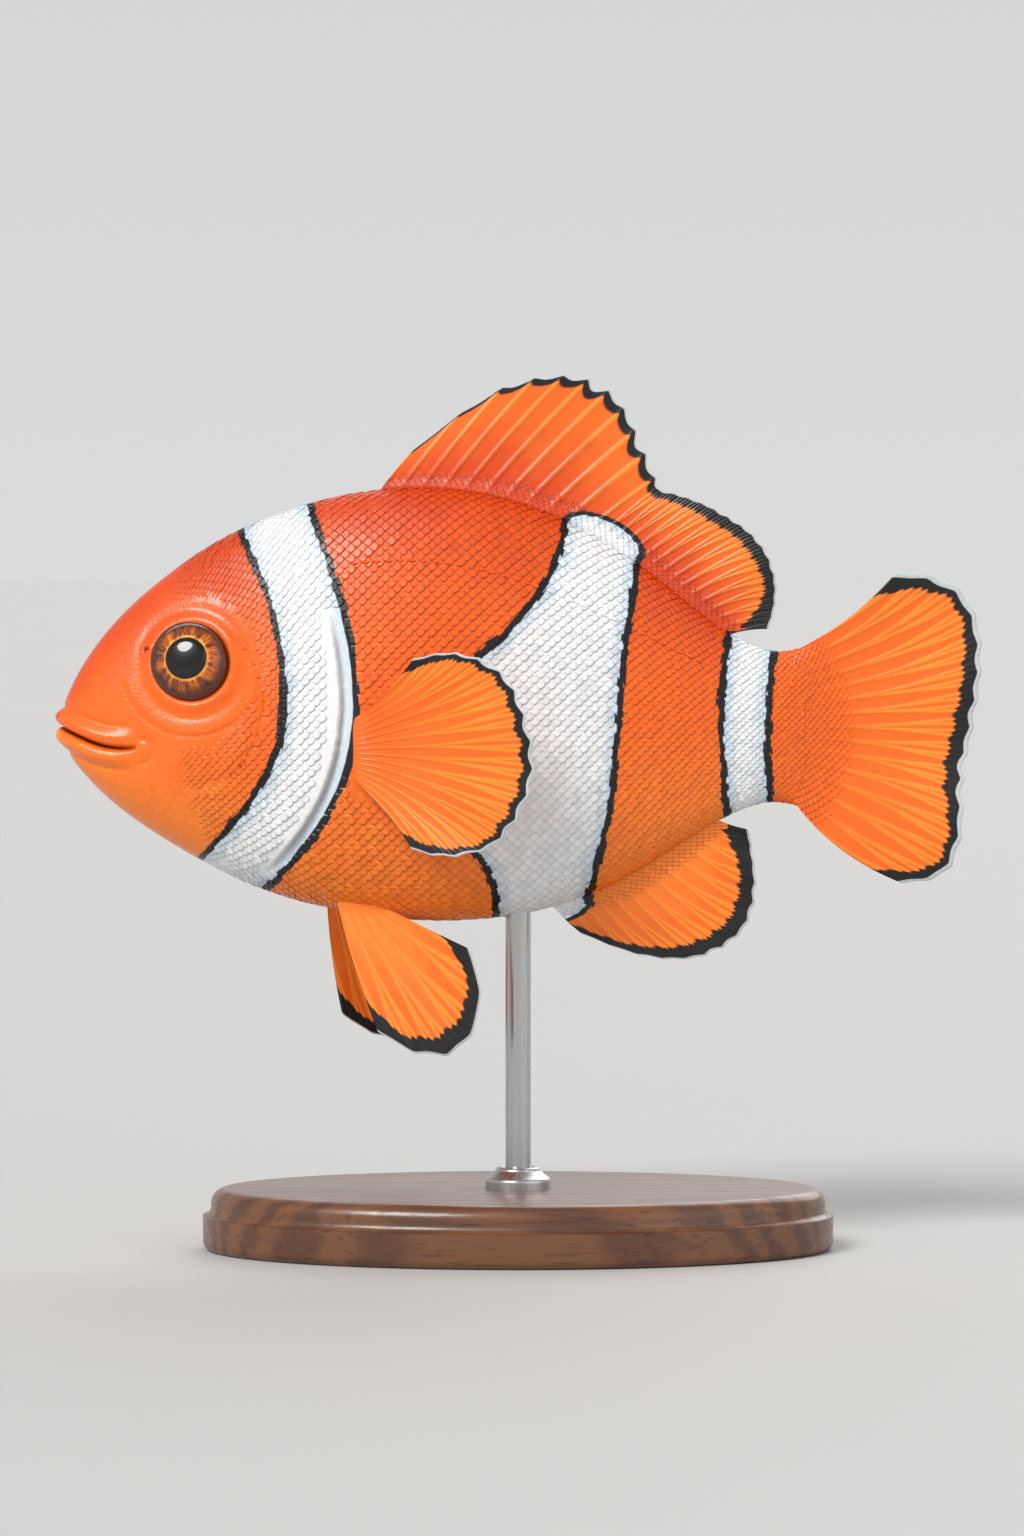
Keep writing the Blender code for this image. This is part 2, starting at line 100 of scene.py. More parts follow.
# Marks on the side. Places are (s, z), and the gill covers have a free edge between their top and foot.
MOUTH_CORNER = 8.0
LIP = 0.95  # from the line of the mouth to the middle of each lip
GILL_EDGE = -0.8  # edge of the gill covers, from GILL_LINE
GILL_TOP, GILL_FOOT = 9.5, -14.5
CHEEK_CENTRE, CHEEK_RADIUS = (11.2, 0.6), 9.0
NOSTRIL = (8.9, 5.9)
PECTORAL_ROOT = (29.8, -3.9)
EYE = (13.4, 4.6)
EYE_RADIUS, EYE_HALF_DEPTH, EYE_PROUD = 4.4, 2.8, 1.05  # the last is how far it stands out
EYE_TURN, EYE_LIFT = math.radians(12), math.radians(11)
PUPIL_RADIUS, IRIS_RADIUS = 2.05, 3.42

SKIN_DEPTH = 0.14  # the skin lies this far inside the solids, for the scales
SKIN_FINE_TO, SKIN_END = 29.5, 76.5  # s where its rows grow coarser, and where it ends in the tail fin
SCALED_FROM = (  # the front limit of the scales, as (z, s)
    (17, 11.0), (12, 9.2), (8, 9.6), (3, 10.0), (-3, 10.2), (-7, 10.6),
    (-11, 11.8), (-15, 13.0), (-19, 14.0),
)
FIRST_COLUMN, SCALED_TO = 8.0, 75.8  # s of the first and last column of scales
HEAD_TO, FLANK_TO = 28.2, 49.5  # where the pieces of the coat end
LATERAL_LINE = (29.2, 62.0)  # s of its ends
SCALE_PITCH = 1.08  # between rows of scales where the body is deepest
FIN_SCALE_PITCH = 0.66  # between those on the roots of the fins
SCALE_STEP = 0.52  # from one column of scales to the next, in row pitches
SCALE_LENGTH, SCALE_HALF_WIDTH = 1.6, 0.53  # in row pitches
SCALE_RISE, SCALE_SUNK = 0.125, 0.05  # free edge above the root, and root below the skin
SCALE_THICK = 0.04
SEED = 5
SIDES = {"left": -1, "right": 1}
HORIZON, ZENITH = 0.71, 0.42  # brightness of the studio's walls and ceiling


# ---- arithmetic ----


def spline(knots, values, at):
    """Natural cubic spline through (knots, values), read at the given places."""
    x, y, at = (np.asarray(a, float) for a in (knots, values, at))
    h = np.diff(x)
    n = len(x)
    system, right = np.eye(n), np.zeros(n)
    for i in range(1, n - 1):
        system[i, i - 1 : i + 2] = h[i - 1], 2 * (h[i - 1] + h[i]), h[i]
        right[i] = 6 * ((y[i + 1] - y[i]) / h[i] - (y[i] - y[i - 1]) / h[i - 1])
    bend = np.linalg.solve(system, right)
    i = np.clip(np.searchsorted(x, at) - 1, 0, n - 2)
    a, b = (x[i + 1] - at) / h[i], (at - x[i]) / h[i]
    curve = ((a**3 - a) * bend[i] + (b**3 - b) * bend[i + 1]) * h[i] ** 2 / 6
    return a * y[i] + b * y[i + 1] + curve


def even_spline(values, at):
    return spline(np.linspace(0, 1, len(values)), values, at)


def edge_line(points, z):
    """s of an edge given as (z, s) from top to bottom."""
    levels, places = (np.array(column, float) for column in zip(*points))
    return spline(-levels, places, -np.clip(z, levels[-1], levels[0]))


def smooth(x, low, high):
    share = np.clip((x - low) / (high - low), 0, 1)
    return share * share * (3 - 2 * share)


def within(x, start, full, ebb, end):
    """A smooth step up from start to full, and down from ebb to end."""
    return smooth(x, start, full) * (1 - smooth(x, ebb, end))


def bump(x, width):
    return np.exp(-((x / width) ** 2))


# ---- the body's surface ----


class Flank:
    """One flank of the body. Rows run from the snout back, and t from -1 on the belly over 0 on the line of
    the greatest width to 1 on the back, evenly along each cross section."""

    ROWS, HALF = 1100, 200

    def __init__(self):
        s, back, belly, mid, half = (np.array(column) for column in zip(*STATIONS))
        steps = np.hypot(np.diff(s), np.diff(back))
        u = np.concatenate([[0], np.cumsum(steps)])
        knots = np.concatenate([-u[:0:-1], u]) / u[-1]
        at = np.linspace(0, 1, self.ROWS) ** 1.35  # closest together at the snout
        outline = np.concatenate([belly[:0:-1], back])
        self.s = spline(knots, np.concatenate([s[:0:-1], s]), at)
        self.back, self.belly = spline(knots, outline, at), spline(knots, outline, -at)
        self.mid = spline(knots, np.concatenate([mid[:0:-1], mid]), at)
        self.half = spline(knots, np.concatenate([-half[:0:-1], half]), at)
        self.s[0] = 0
        upper, self.girth_up = self.quarter(self.back - self.mid)
        lower, self.girth_down = self.quarter(self.mid - self.belly)
        self.girth_most = (self.girth_up + self.girth_down).max()
        self.y = np.concatenate([lower[0][:, :0:-1], upper[0]], axis=1)
        self.z = np.concatenate([-lower[1][:, :0:-1], upper[1]], axis=1) + self.mid[:, None]

    def quarter(self, reach):
        """Even points from the line of the greatest width to the back or belly, and the arcs' lengths."""
        angle = np.linspace(0, math.pi / 2, 500)
        power = 2 / SECTION_POWER
        y = self.half[:, None] * np.cos(angle) ** power
        z = reach[:, None] * np.sin(angle) ** power
        steps = np.hypot(np.diff(y, axis=1), np.diff(z, axis=1))
        arc = np.concatenate([np.zeros((len(y), 1)), np.cumsum(steps, axis=1)], axis=1)
        even = np.linspace(0, 1, self.HALF + 1)
        picked = []
        for lengths, *curves in zip(arc, y, z):
            picked.append([np.interp(even * lengths[-1], lengths, curve) for curve in curves])
        return np.moveaxis(np.array(picked), 1, 0), arc[:, -1]

    def row(self, s):
        return np.interp(s, self.s, np.arange(self.ROWS))

    def girth(self, s, upper):
        return np.where(upper, np.interp(s, self.s, self.girth_up), np.interp(s, self.s, self.girth_down))

    def read(self, row, t):
        """s, y and z of points on the right flank."""
        row = np.clip(row, 0, self.ROWS - 1.001)
        column = (np.clip(t, -1, 1) + 1) * self.HALF
        column = np.minimum(column, 2 * self.HALF - 0.001)
        i, j = row.astype(int), column.astype(int)
        a, b = row - i, column - j
        near = [(1 - a) * (1 - b), a * (1 - b), (1 - a) * b, a * b]
        corners = ((i, j), (i + 1, j), (i, j + 1), (i + 1, j + 1))
        y, z = (sum(w * grid[c] for w, c in zip(near, corners)) for grid in (self.y, self.z))
        return (1 - a) * self.s[i] + a * self.s[i + 1], y, z

    def lifted(self, row, t, height, side):
        """Points of the finished surface, raised by height, on the side +1 (right) or -1 (left)."""
        near, gap = 2.5, 0.012  # the slope is read this many rows, and this share of t, to each side
        point = np.stack(self.read(row, t), axis=-1)
        along = np.stack(self.read(row + near, t), axis=-1) - np.stack(self.read(row - near, t), axis=-1)
        # Across the back and belly the section carries on as a mirror image.
        ahead = np.stack(self.read(row, np.minimum(t + gap, 2 - t - gap)), axis=-1)
        behind = np.stack(self.read(row, np.maximum(t - gap, -2 - t + gap)), axis=-1)
        ahead[..., 1] *= np.where(t + gap > 1, -1, 1)
        behind[..., 1] *= np.where(t - gap < -1, -1, 1)
        normal = np.cross(ahead - behind, along)
        normal /= np.linalg.norm(normal, axis=-1, keepdims=True) + 1e-12
        normal *= np.where((normal[..., 1] < 0) & (np.abs(t) < 0.9), -1, 1)[..., None]
        made = point + normal * (relief(point[..., 0], point[..., 2]) + height)[..., None]
        made[..., 1] = np.maximum(made[..., 1], 0) * side
        return made


def flank_side(s, z):
    """How far the flank stands out from the middle plane."""
    curves = (FLANK.back, FLANK.belly, FLANK.mid, FLANK.half)
    back, belly, mid, half = (np.interp(s, FLANK.s, curve) for curve in curves)
    share = np.abs((z - mid) / (back - mid if z > mid else mid - belly))
    return half * (1 - share**SECTION_POWER) ** (1 / SECTION_POWER)


def distance_from(s, z, place):
    """How far from a place on the side."""
    return np.hypot(s - place[0], z - place[1])


def direction_from(s, z, place):
    """The direction from a place on the side, in degrees: 0 to the rear and 90 up."""
    return np.degrees(np.arctan2(z - place[1], s - place[0]))


def cheek_distance(s, z):
    """How far behind the round edge of the cheek, and the direction from its centre."""
    return distance_from(s, z, CHEEK_CENTRE) - CHEEK_RADIUS, direction_from(s, z, CHEEK_CENTRE)


def gill_distance(s, z):
    """How far behind the edge of the gill cover, and how much of an edge there is at that height."""
    edge = within(z, GILL_FOOT - 2.0, GILL_FOOT + 2.0, GILL_TOP - 4.0, GILL_TOP + 1.0)
    return s - edge_line(GILL_LINE, z) - GILL_EDGE, edge


def mouth_distance(s, z):
    """Height above the line of the mouth, and how much of a mouth there is at s."""
    return z - np.interp(s, FLANK.s, FLANK.mid), np.clip(1 - (s / MOUTH_CORNER) ** 4, 0, 1)


def mouth_relief(s, z):
    """The lips, the groove round them, the slit between them and the fold at their corner."""
    across, mouth = mouth_distance(s, z)
    lips = 0.50 * bump(np.abs(across) - LIP, 0.70) - 0.16 * bump(np.abs(across) - 2.15, 0.32)
    slit = 0.95 * np.sqrt(mouth) * bump(across, 0.20)
    corner = distance_from(s, z, (MOUTH_CORNER + 0.3, -4.0))
    fold = 0.16 * bump(corner - 1.2, 0.3) * smooth(s, MOUTH_CORNER - 0.2, MOUTH_CORNER + 0.6)
    return mouth * lips - slit - fold


def eye_relief(s, z):
    """The eye's rim and socket, and the fold below them."""
    eye = distance_from(s, z, EYE)
    rim = 0.26 * bump(eye - 4.15, 0.5) - 0.10 * bump(eye - 5.3, 0.4)
    socket = 1.9 * (1 - smooth(eye, 2.9, 3.85))
    below = within(direction_from(s, z, EYE), -172, -150, -35, -10)
    fold = 0.10 * within(eye, 5.4, 6.7, 6.75, 7.1) - 0.07 * bump(eye - 7.1, 0.25)
    return rim - socket + below * fold


def cheek_relief(s, z):
    """The full cheek with its round rear edge."""
    cheek, turn = cheek_distance(s, z)
    edge = 0.20 * within(cheek, -2.6, -0.25, -0.08, 0.10) - 0.10 * bump(cheek - 0.15, 0.2)
    return within(turn, -72, -35, 40, 58) * edge + 0.25 * bump(s - 12.5, 4.0) * bump(z + 4.5, 4.0)


def gill_relief(s, z):
    """The gill cover's edge and the step down behind it."""
    gill, edge = gill_distance(s, z)
    rise, step = within(gill, -5.0, -0.4, -0.06, 0.10), within(gill, -0.06, 0.10, 0.3, 1.8)
    return edge * (0.30 * rise - 0.34 * step)


def relief(s, z):
    """How far the head's folds and the pectoral fin's fleshy root stand out from the cross sections."""
    nostril = distance_from(s, z, NOSTRIL)
    pit = 0.13 * bump(nostril - 0.46, 0.17) - 0.45 * (1 - smooth(nostril, 0.12, 0.42))
    root = 0.5 * bump(s - PECTORAL_ROOT[0] + 0.4, 1.2) * bump(z - PECTORAL_ROOT[1], 3.4)
    return mouth_relief(s, z) + eye_relief(s, z) + cheek_relief(s, z) + gill_relief(s, z) + pit + root


def darkness(s, z):
    """Where the mouth, the gill slit, the nostril and the edge of the eye's socket are in shadow."""
    across, mouth = mouth_distance(s, z)
    gill, edge = gill_distance(s, z)
    found = [
        0.95 * np.sqrt(mouth) * bump(across, 0.15),
        0.45 * edge * bump(gill - 0.22, 0.26),
        0.95 * (1 - smooth(distance_from(s, z, NOSTRIL), 0.16, 0.34)),
        0.6 * bump(distance_from(s, z, EYE) - 3.55, 0.20),
    ]
    return np.max(found, axis=0)


def bar_distance(s, z):
    """Distance inside the nearest white bar, negative outside the bars."""
    best = np.full(np.shape(s), -99.0)
    for front, rear in BARS:
        inside = []
        for edge, way in ((front, 1), (rear, -1)):
            slope = (edge_line(edge, z + 0.2) - edge_line(edge, z - 0.2)) / 0.4  # lean of the edge
            inside.append(way * (s - edge_line(edge, z)) / np.sqrt(1 + slope**2))
        best = np.maximum(best, np.minimum(*inside))
    return best


def shade_mark(s, z):
    """From -1 on the belly to 1 on the back, evening out towards the tail fin."""
    back, belly = np.interp(s, FLANK.s, FLANK.back), np.interp(s, FLANK.s, FLANK.belly)
    share = np.clip(2 * (z - belly) / np.maximum(back - belly, 0.5) - 1, -1.2, 1.2)
    return share * (1 - 0.8 * smooth(s, 64.0, 74.0))


def body_marks(points):
    """The named values that the skin's and scales' colours are worked out from."""
    s, z = points[..., 0], points[..., 2]
    return {"bar": bar_distance(s, z), "shade": shade_mark(s, z), "dark": darkness(s, z)}


# ---- pieces ----


def outward_way(points, faces):
    """The slice that turns all faces outwards, by the sign of the volume that they enclose."""
    a, b, c, d = (points[column] for column in faces.T)
    volume = np.einsum("ij,ij", a, np.cross(b, c)) + np.einsum("ij,ij", a, np.cross(c, d))
    return slice(None, None, -1 if volume < 0 else 1)


def add_marks(mesh, shape, marks):
    """Attributes from numbers or vectors that spread over points of that shape."""
    for label, values in marks.items():
        vector = np.shape(values)[-1] == 3
        values = np.broadcast_to(values, (*shape, 3) if vector else shape).astype(np.float32)
        made = mesh.attributes.new(label, "FLOAT_VECTOR" if vector else "FLOAT", "POINT")
        made.data.foreach_set("vector" if vector else "value", values.ravel())


def make_mesh(name, points, faces, marks, bake_map):
    """A mesh from points on the fish's axes and an array of quads, in which a repeated last corner makes a
    triangle. bake_map gives UV places per point or per face corner."""
    shape, points = np.shape(points)[:-1], np.asarray(points, float).reshape(-1, 3)
    world = (points + (-TOTAL_LENGTH / 2, 0, AXIS_HEIGHT)) * MM
    triangle, way = faces[:, 2] == faces[:, 3], outward_way(points, faces)
    keep = np.ones(faces.shape, bool)
    keep[triangle, 3] = False
    keep, sizes = keep[:, way], np.where(triangle, 3, 4)
    corners = faces[:, way][keep]
    mesh = bpy.data.meshes.new(name)
    mesh.vertices.add(len(world))
    mesh.vertices.foreach_set("co", world.astype(np.float32).ravel())
    mesh.loops.add(len(corners))
    mesh.loops.foreach_set("vertex_index", corners.astype(np.int32))
    mesh.polygons.add(len(faces))
    mesh.polygons.foreach_set("loop_start", (np.cumsum(sizes) - sizes).astype(np.int32))
    mesh.polygons.foreach_set("loop_total", sizes.astype(np.int32))
    mesh.update(calc_edges=True)
    add_marks(mesh, shape, marks)
    if bake_map is not None:
        places = bake_map[faces] if bake_map.ndim == 2 else bake_map
        places = places[:, way][keep].astype(np.float32)
        mesh.uv_layers.new(name="OFBake").data.foreach_set("uv", places.ravel())
    return mesh


def piece(name, points, faces, material, marks=(), bake_map=None, replaces=(), smooth_angle=None):
    """A smooth piece of closed bodies, with edges sharper than smooth_angle left sharp."""
    mesh = make_mesh(name, points, faces, dict(marks), bake_map)
    mesh.shade_smooth()
    if smooth_angle:
        mesh.set_sharp_from_angle(angle=math.radians(smooth_angle))
    mesh.materials.append(material)
    mesh.validate()
    made = bpy.data.objects.new(name, mesh)
    bpy.context.scene.collection.objects.link(made)
    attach(made, "root")
    if replaces:
        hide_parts(*replaces)


def grid_faces(columns, rows, closed=False):
    """Quads of a grid of points stored column by column; a closed grid joins its last row to its first."""
    i, j = np.meshgrid(np.arange(columns - 1), np.arange(rows if closed else rows - 1), indexing="ij")
    k, near, far = (j + 1) % rows, i * rows, (i + 1) * rows
    return np.stack([near + j, far + j, far + k, near + k], axis=-1).reshape(-1, 4)


def plate_faces(columns, rows):
    """Both sides and the rim of a plate whose second side follows the first."""
    near = grid_faces(columns, rows)
    far = near[:, ::-1] + columns * rows
    rim = [i * rows for i in range(columns)]
    rim += [(columns - 1) * rows + j for j in range(1, rows)]
    rim += [i * rows + rows - 1 for i in range(columns - 2, -1, -1)]
    rim += range(rows - 2, 0, -1)
    a = np.array(rim)
    b = np.roll(a, -1)
    edge = np.stack([b, a, a + columns * rows, b + columns * rows], axis=-1)
    return np.concatenate([near, far, edge])


def repeated(faces, count, points):
    """The faces of many like bodies of so many points each."""
    return (faces + (np.arange(count) * points)[:, None, None]).reshape(-1, 4)


def bake_places(root, patch):
    """UV places in a patch 0.003 across at each root's place on the map; patch is -1 to 1 both ways."""
    return (0.01 + 0.98 * root + 0.0015 * patch).reshape(-1, 2)


def plate_map(near, faces):
    """UV places per corner for plate_faces: half of the map for each side, the rim beside the first."""
    near = near.reshape(-1, 2)
    places = np.concatenate([near, near + (0, 0.5)])[faces]
    rim = (faces < len(near)).any(axis=1) & (faces >= len(near)).any(axis=1)
    centre = near.mean(axis=0)
    beside = centre + 1.02 * (near - centre)
    second = faces[rim] >= len(near)
    places[rim] = np.where(second[..., None], beside[faces[rim] % len(near)], near[faces[rim] % len(near)])
    return places


# ---- materials ----


class Finish:
    """A Principled material with short calls that add nodes to it."""

    def __init__(self, name, **values):
        self.material = bpy.data.materials.new(name)
        self.material.use_nodes = True
        self.tree = self.material.node_tree
        self.surface = self.tree.nodes["Principled BSDF"].inputs
        for label, value in values.items():
            self.surface[label.replace("_", " ")].default_value = value

    def add(self, kind, inputs, **settings):
        """A node's outputs. Its inputs are values or other nodes' outputs, by name or number."""
        made = self.tree.nodes.new("ShaderNode" + kind)
        for label, value in settings.items():
            setattr(made, label, value)
        for key, value in inputs.items():
            self.feed(made.inputs[key], value)
        return made.outputs

    def feed(self, socket, value):
        if isinstance(value, bpy.types.NodeSocket):
            self.tree.links.new(value, socket)
        else:
            socket.default_value = value

    def mark(self, name, kind="Fac"):
        """A mark of the piece, read as a number or as a Vector."""
        return self.add("Attribute", {}, attribute_name=name)[kind]

    def math(self, operation, *values):
        return self.add("Math", dict(enumerate(values)), operation=operation)[0]

    def plus(self, value, other, times):
        """value, and other so many times."""
        return self.math("ADD", value, self.math("MULTIPLY", other, times))

    def ramp(self, value, low, high, to_low=0.0, to_high=1.0):
        """A smooth step of value from low to high."""
        inputs = {"Value": value, "From Min": low, "From Max": high, "To Min": to_low, "To Max": to_high}
        return self.add("MapRange", inputs, interpolation_type="SMOOTHSTEP")[0]

    def place(self):
        return self.add("TexCoord", {})["Object"]

    def stretched(self, scale, rotation=(0.0, 0.0, 0.0)):
        return self.add("Mapping", {"Vector": self.place(), "Scale": scale, "Rotation": rotation})[0]

    def noise(self, scale, detail=3.0, roughness=0.55, vector=None):
        inputs = {"Scale": scale, "Detail": detail, "Roughness": roughness}
        return self.add("TexNoise", inputs | {"Vector": vector or self.place()})["Fac"]

    def wander(self, scale, detail=3.0):
        """Noise about 0."""
        return self.math("SUBTRACT", self.noise(scale, detail), 0.5)

    def wave(self, vector, scale, distortion, detail, **settings):
        inputs = {"Vector": vector, "Scale": scale, "Distortion": distortion, "Detail": detail}
        return self.add("TexWave", inputs, **settings)["Fac"]

    def mix(self, share, first, second, blend="MIX"):
        inputs = {0: share, 6: first, 7: second}  # the factor and the two colours
        return self.add("Mix", inputs, data_type="RGBA", blend_type=blend)[2]

    def over(self, colour, new, value, low, high, to_low=0.0, to_high=1.0):
        """A new colour over another, more and more as value goes from low to high."""
        return self.mix(self.ramp(value, low, high, to_low, to_high), colour, new)

    def dimmed(self, colour, light):
        grey = self.add("CombineColor", {i: light for i in range(3)})[0]
        return self.mix(1.0, colour, grey, "MULTIPLY")

    def bump(self, height, strength, distance):
        inputs = {"Height": height, "Strength": strength, "Distance": distance * MM}
        self.feed(self.surface["Normal"], self.add("Bump", inputs)[0])

    def colour(self, value):
        self.feed(self.surface["Base Color"], value)

    def rough(self, value, low, high):
        """Roughness from low to high over the middle of a noise's range."""
        self.feed(self.surface["Roughness"], self.ramp(value, 0.3, 0.7, low, high))


def rgb(*values):
    """A linear colour from 0-255 display values."""
    shares = [value / 255 for value in values]
    return (*[c / 12.92 if c <= 0.04045 else ((c + 0.055) / 1.055) ** 2.4 for c in shares], 1)


ORANGE_BACK, ORANGE, ORANGE_BELLY = rgb(214, 66, 8), rgb(248, 104, 14), rgb(255, 133, 38)
FIN_WEB, FIN_RAY, FIN_MARGIN = rgb(240, 106, 16), rgb(252, 140, 36), rgb(198, 208, 214)
WHITE, WHITE_BLUE = rgb(240, 243, 244), rgb(204, 220, 232)
BLACK, SHADOW = rgb(12, 11, 13), rgb(30, 9, 4)
MOIST = {"Specular_IOR_Level": 0.4, "Coat_Weight": 0.22, "Coat_Roughness": 0.12}


def body_orange(finish, patch):
    """Orange that is darker on the back and yellower on the belly, by the mark shade."""
    shade = finish.plus(finish.mark("shade"), patch, 0.6)
    lower = finish.over(ORANGE_BELLY, ORANGE, shade, -1.0, 0.0)
    return finish.over(lower, ORANGE_BACK, shade, 0.15, 1.15)


def marked_colour(finish):
    """Orange with white bars and their black edges, from the marks bar and shade."""
    bar = finish.plus(finish.mark("bar"), finish.wander(420.0), 0.32)
    patch = finish.wander(160.0, detail=4.0)
    black = finish.math("ADD", bar, finish.plus(0.72, patch, 0.9))
    colour = finish.over(body_orange(finish, patch), BLACK, black, -0.08, 0.08)
    white = finish.over(WHITE_BLUE, WHITE, bar, 0.0, 1.5)
    return finish.over(colour, white, bar, -0.07, 0.07)


def skin_finish():
    finish = Finish("fish_skin", Roughness=0.40, **MOIST)
    fleck = finish.ramp(finish.noise(2600.0, detail=2.0), 0.35, 0.7, 0.93, 1.03)
    colour = finish.dimmed(marked_colour(finish), fleck)
    finish.colour(finish.mix(finish.mark("dark"), colour, SHADOW))
    finish.rough(finish.noise(1800.0), 0.28, 0.44)
    pores = finish.add("TexVoronoi", {"Scale": 3200.0, "Vector": finish.place()})["Distance"]
    finish.bump(finish.math("ADD", pores, finish.noise(900.0)), 0.35, 0.06)
    return finish.material


def scale_finish():
    """Scales: the skin's markings, each with its own tint, a darker free edge and fine growth ridges."""
    finish = Finish("fish_scales", Roughness=0.38, **MOIST)
    tint = finish.ramp(finish.mark("tint"), 0.0, 1.0, 0.93, 1.04)
    rim = finish.ramp(finish.mark("rim"), 0.70, 1.0, 1.0, 0.84)
    colour = finish.dimmed(marked_colour(finish), finish.math("MULTIPLY", tint, rim))
    finish.colour(finish.mix(finish.math("MULTIPLY", finish.mark("dark"), 0.8), colour, SHADOW))
    finish.rough(finish.noise(2200.0), 0.27, 0.42)
    finish.bump(finish.wave(finish.mark("ridge", "Vector"), 1.6, 1.2, 1.0), 0.25, 0.03)
    return finish.material


def fin_finish():
    """Fins: the body's orange at the root, paler further out and most on the rays, a black band inside a
    thin pale margin, and the white of the bars."""
    finish = Finish("fish_fins", Roughness=0.42, **MOIST | {"Coat_Weight": 0.2, "Coat_Roughness": 0.15})
    finish.surface["Subsurface Weight"].default_value = 0.12
    finish.surface["Subsurface Scale"].default_value = 0.5 * MM
    finish.surface["Subsurface Radius"].default_value = (1.0, 0.35, 0.12)
    ray, patch = finish.mark("ray"), finish.wander(260.0, detail=4.0)
    reach = finish.ramp(finish.plus(finish.mark("out"), patch, 0.8), 0.0, 0.8)
    body = body_orange(finish, patch)
    web, line = (finish.mix(reach, body, colour) for colour in (FIN_WEB, FIN_RAY))
    colour = finish.over(web, line, ray, 0.05, 0.75)
    wander = finish.math("MULTIPLY", finish.wander(500.0), 0.35)
    bar = finish.math("ADD", finish.mark("bar"), wander)
    colour = finish.over(colour, BLACK, bar, -0.85, -0.70)
    colour = finish.over(colour, WHITE, bar, -0.07, 0.07)
    rim = finish.plus(finish.mark("edge"), finish.math("SUBTRACT", ray, 0.4), 0.35)
    rim = finish.math("ADD", rim, wander)
    colour = finish.over(colour, BLACK, rim, -0.16, 0.20, 1.0, 0.0)
    pale = finish.plus(finish.mark("pale"), wander, 0.3)
    finish.colour(finish.over(colour, FIN_MARGIN, pale, -0.06, 0.06, 0.85, 0.0))
    rings = finish.wave(finish.mark("rings", "Vector"), 0.9, 0.6, 1.0)
    height = finish.math("MULTIPLY", rings, finish.ramp(ray, 0.25, 0.8))
    finish.bump(finish.plus(height, finish.noise(1500.0), 0.5), 0.35, 0.05)
    return finish.material


def eye_finish():
    """A black pupil in a gold ring, and a brown iris with fine spokes and a dark rim, under a wet coat."""
    wet = {"Specular_IOR_Level": 0.2, "Coat_Weight": 0.8, "Coat_Roughness": 0.02}
    finish = Finish("fish_eye", Roughness=0.28, **wet)
    radius, spoke = finish.mark("radius"), finish.mark("spoke", "Vector")
    spokes = finish.noise(5.0, detail=5.0, roughness=0.7, vector=spoke)
    cloud = finish.noise(2.2, vector=spoke)
    iris = finish.over(rgb(96, 40, 14), rgb(226, 116, 30), spokes, 0.38, 0.66)
    iris = finish.over(iris, rgb(64, 46, 38), cloud, 0.50, 0.72)
    iris = finish.over(iris, rgb(52, 22, 10), radius, 2.7, 3.6)
    frayed = finish.plus(radius, finish.math("SUBTRACT", spokes, 0.5), -0.9)
    gold = finish.over(rgb(250, 176, 70), rgb(226, 132, 40), cloud, 0.35, 0.65)
    iris = finish.over(iris, gold, frayed, PUPIL_RADIUS + 0.05, PUPIL_RADIUS + 0.36, 1.0, 0.0)
    iris = finish.over(iris, rgb(84, 30, 11), radius, IRIS_RADIUS - 0.05, IRIS_RADIUS + 0.08)
    finish.colour(finish.over(rgb(2, 2, 3), iris, radius, PUPIL_RADIUS - 0.05, PUPIL_RADIUS + 0.06))
    height = finish.math("MULTIPLY", spokes, finish.ramp(radius, PUPIL_RADIUS, PUPIL_RADIUS + 0.3))
    finish.bump(height, 0.25, 0.12)
    return finish.material


def wood_finish():
    """Satin walnut: long growth rings, finer fibres and dark pores, along the base."""
    finish = Finish("stand_walnut", Roughness=0.32, Coat_Weight=0.35, Coat_Roughness=0.2)
    grain = finish.stretched((7.0, 60.0, 60.0), (0.0, 0.35, 0.06))
    bend = finish.math("MULTIPLY", finish.noise(1.3, vector=grain), 22.0)
    rings = finish.wave(grain, 1.9, bend, 3.0, wave_type="BANDS", bands_direction="Y")
    fibres = finish.noise(1.0, detail=4.0, vector=finish.stretched((90.0, 2600.0, 2600.0)))
    colour = finish.over(rgb(88, 52, 30), rgb(112, 69, 40), rings, 0.1, 0.9)
    finish.colour(finish.over(colour, rgb(44, 24, 14), fibres, 0.52, 0.72, 0.0, 0.7))
    finish.rough(fibres, 0.26, 0.46)
    finish.bump(finish.plus(fibres, rings, 0.4), 0.25, 0.08)
    return finish.material


def steel_finish():
    finish = Finish("stand_steel", Metallic=1.0, Roughness=0.26)
    lines = finish.noise(1.0, vector=finish.stretched((3000.0, 3000.0, 40.0)))
    finish.colour(finish.mix(lines, rgb(168, 169, 170), rgb(206, 206, 205)))
    finish.rough(lines, 0.24, 0.32)
    finish.bump(lines, 0.08, 0.01)
    return finish.material


def floor_finish():
    finish = Finish("floor", Roughness=0.7, Specular_IOR_Level=0.2)
    finish.colour(finish.mix(finish.noise(6.0), rgb(188, 188, 187), rgb(191, 191, 190)))
    return finish.material


# ---- skin and scales ----


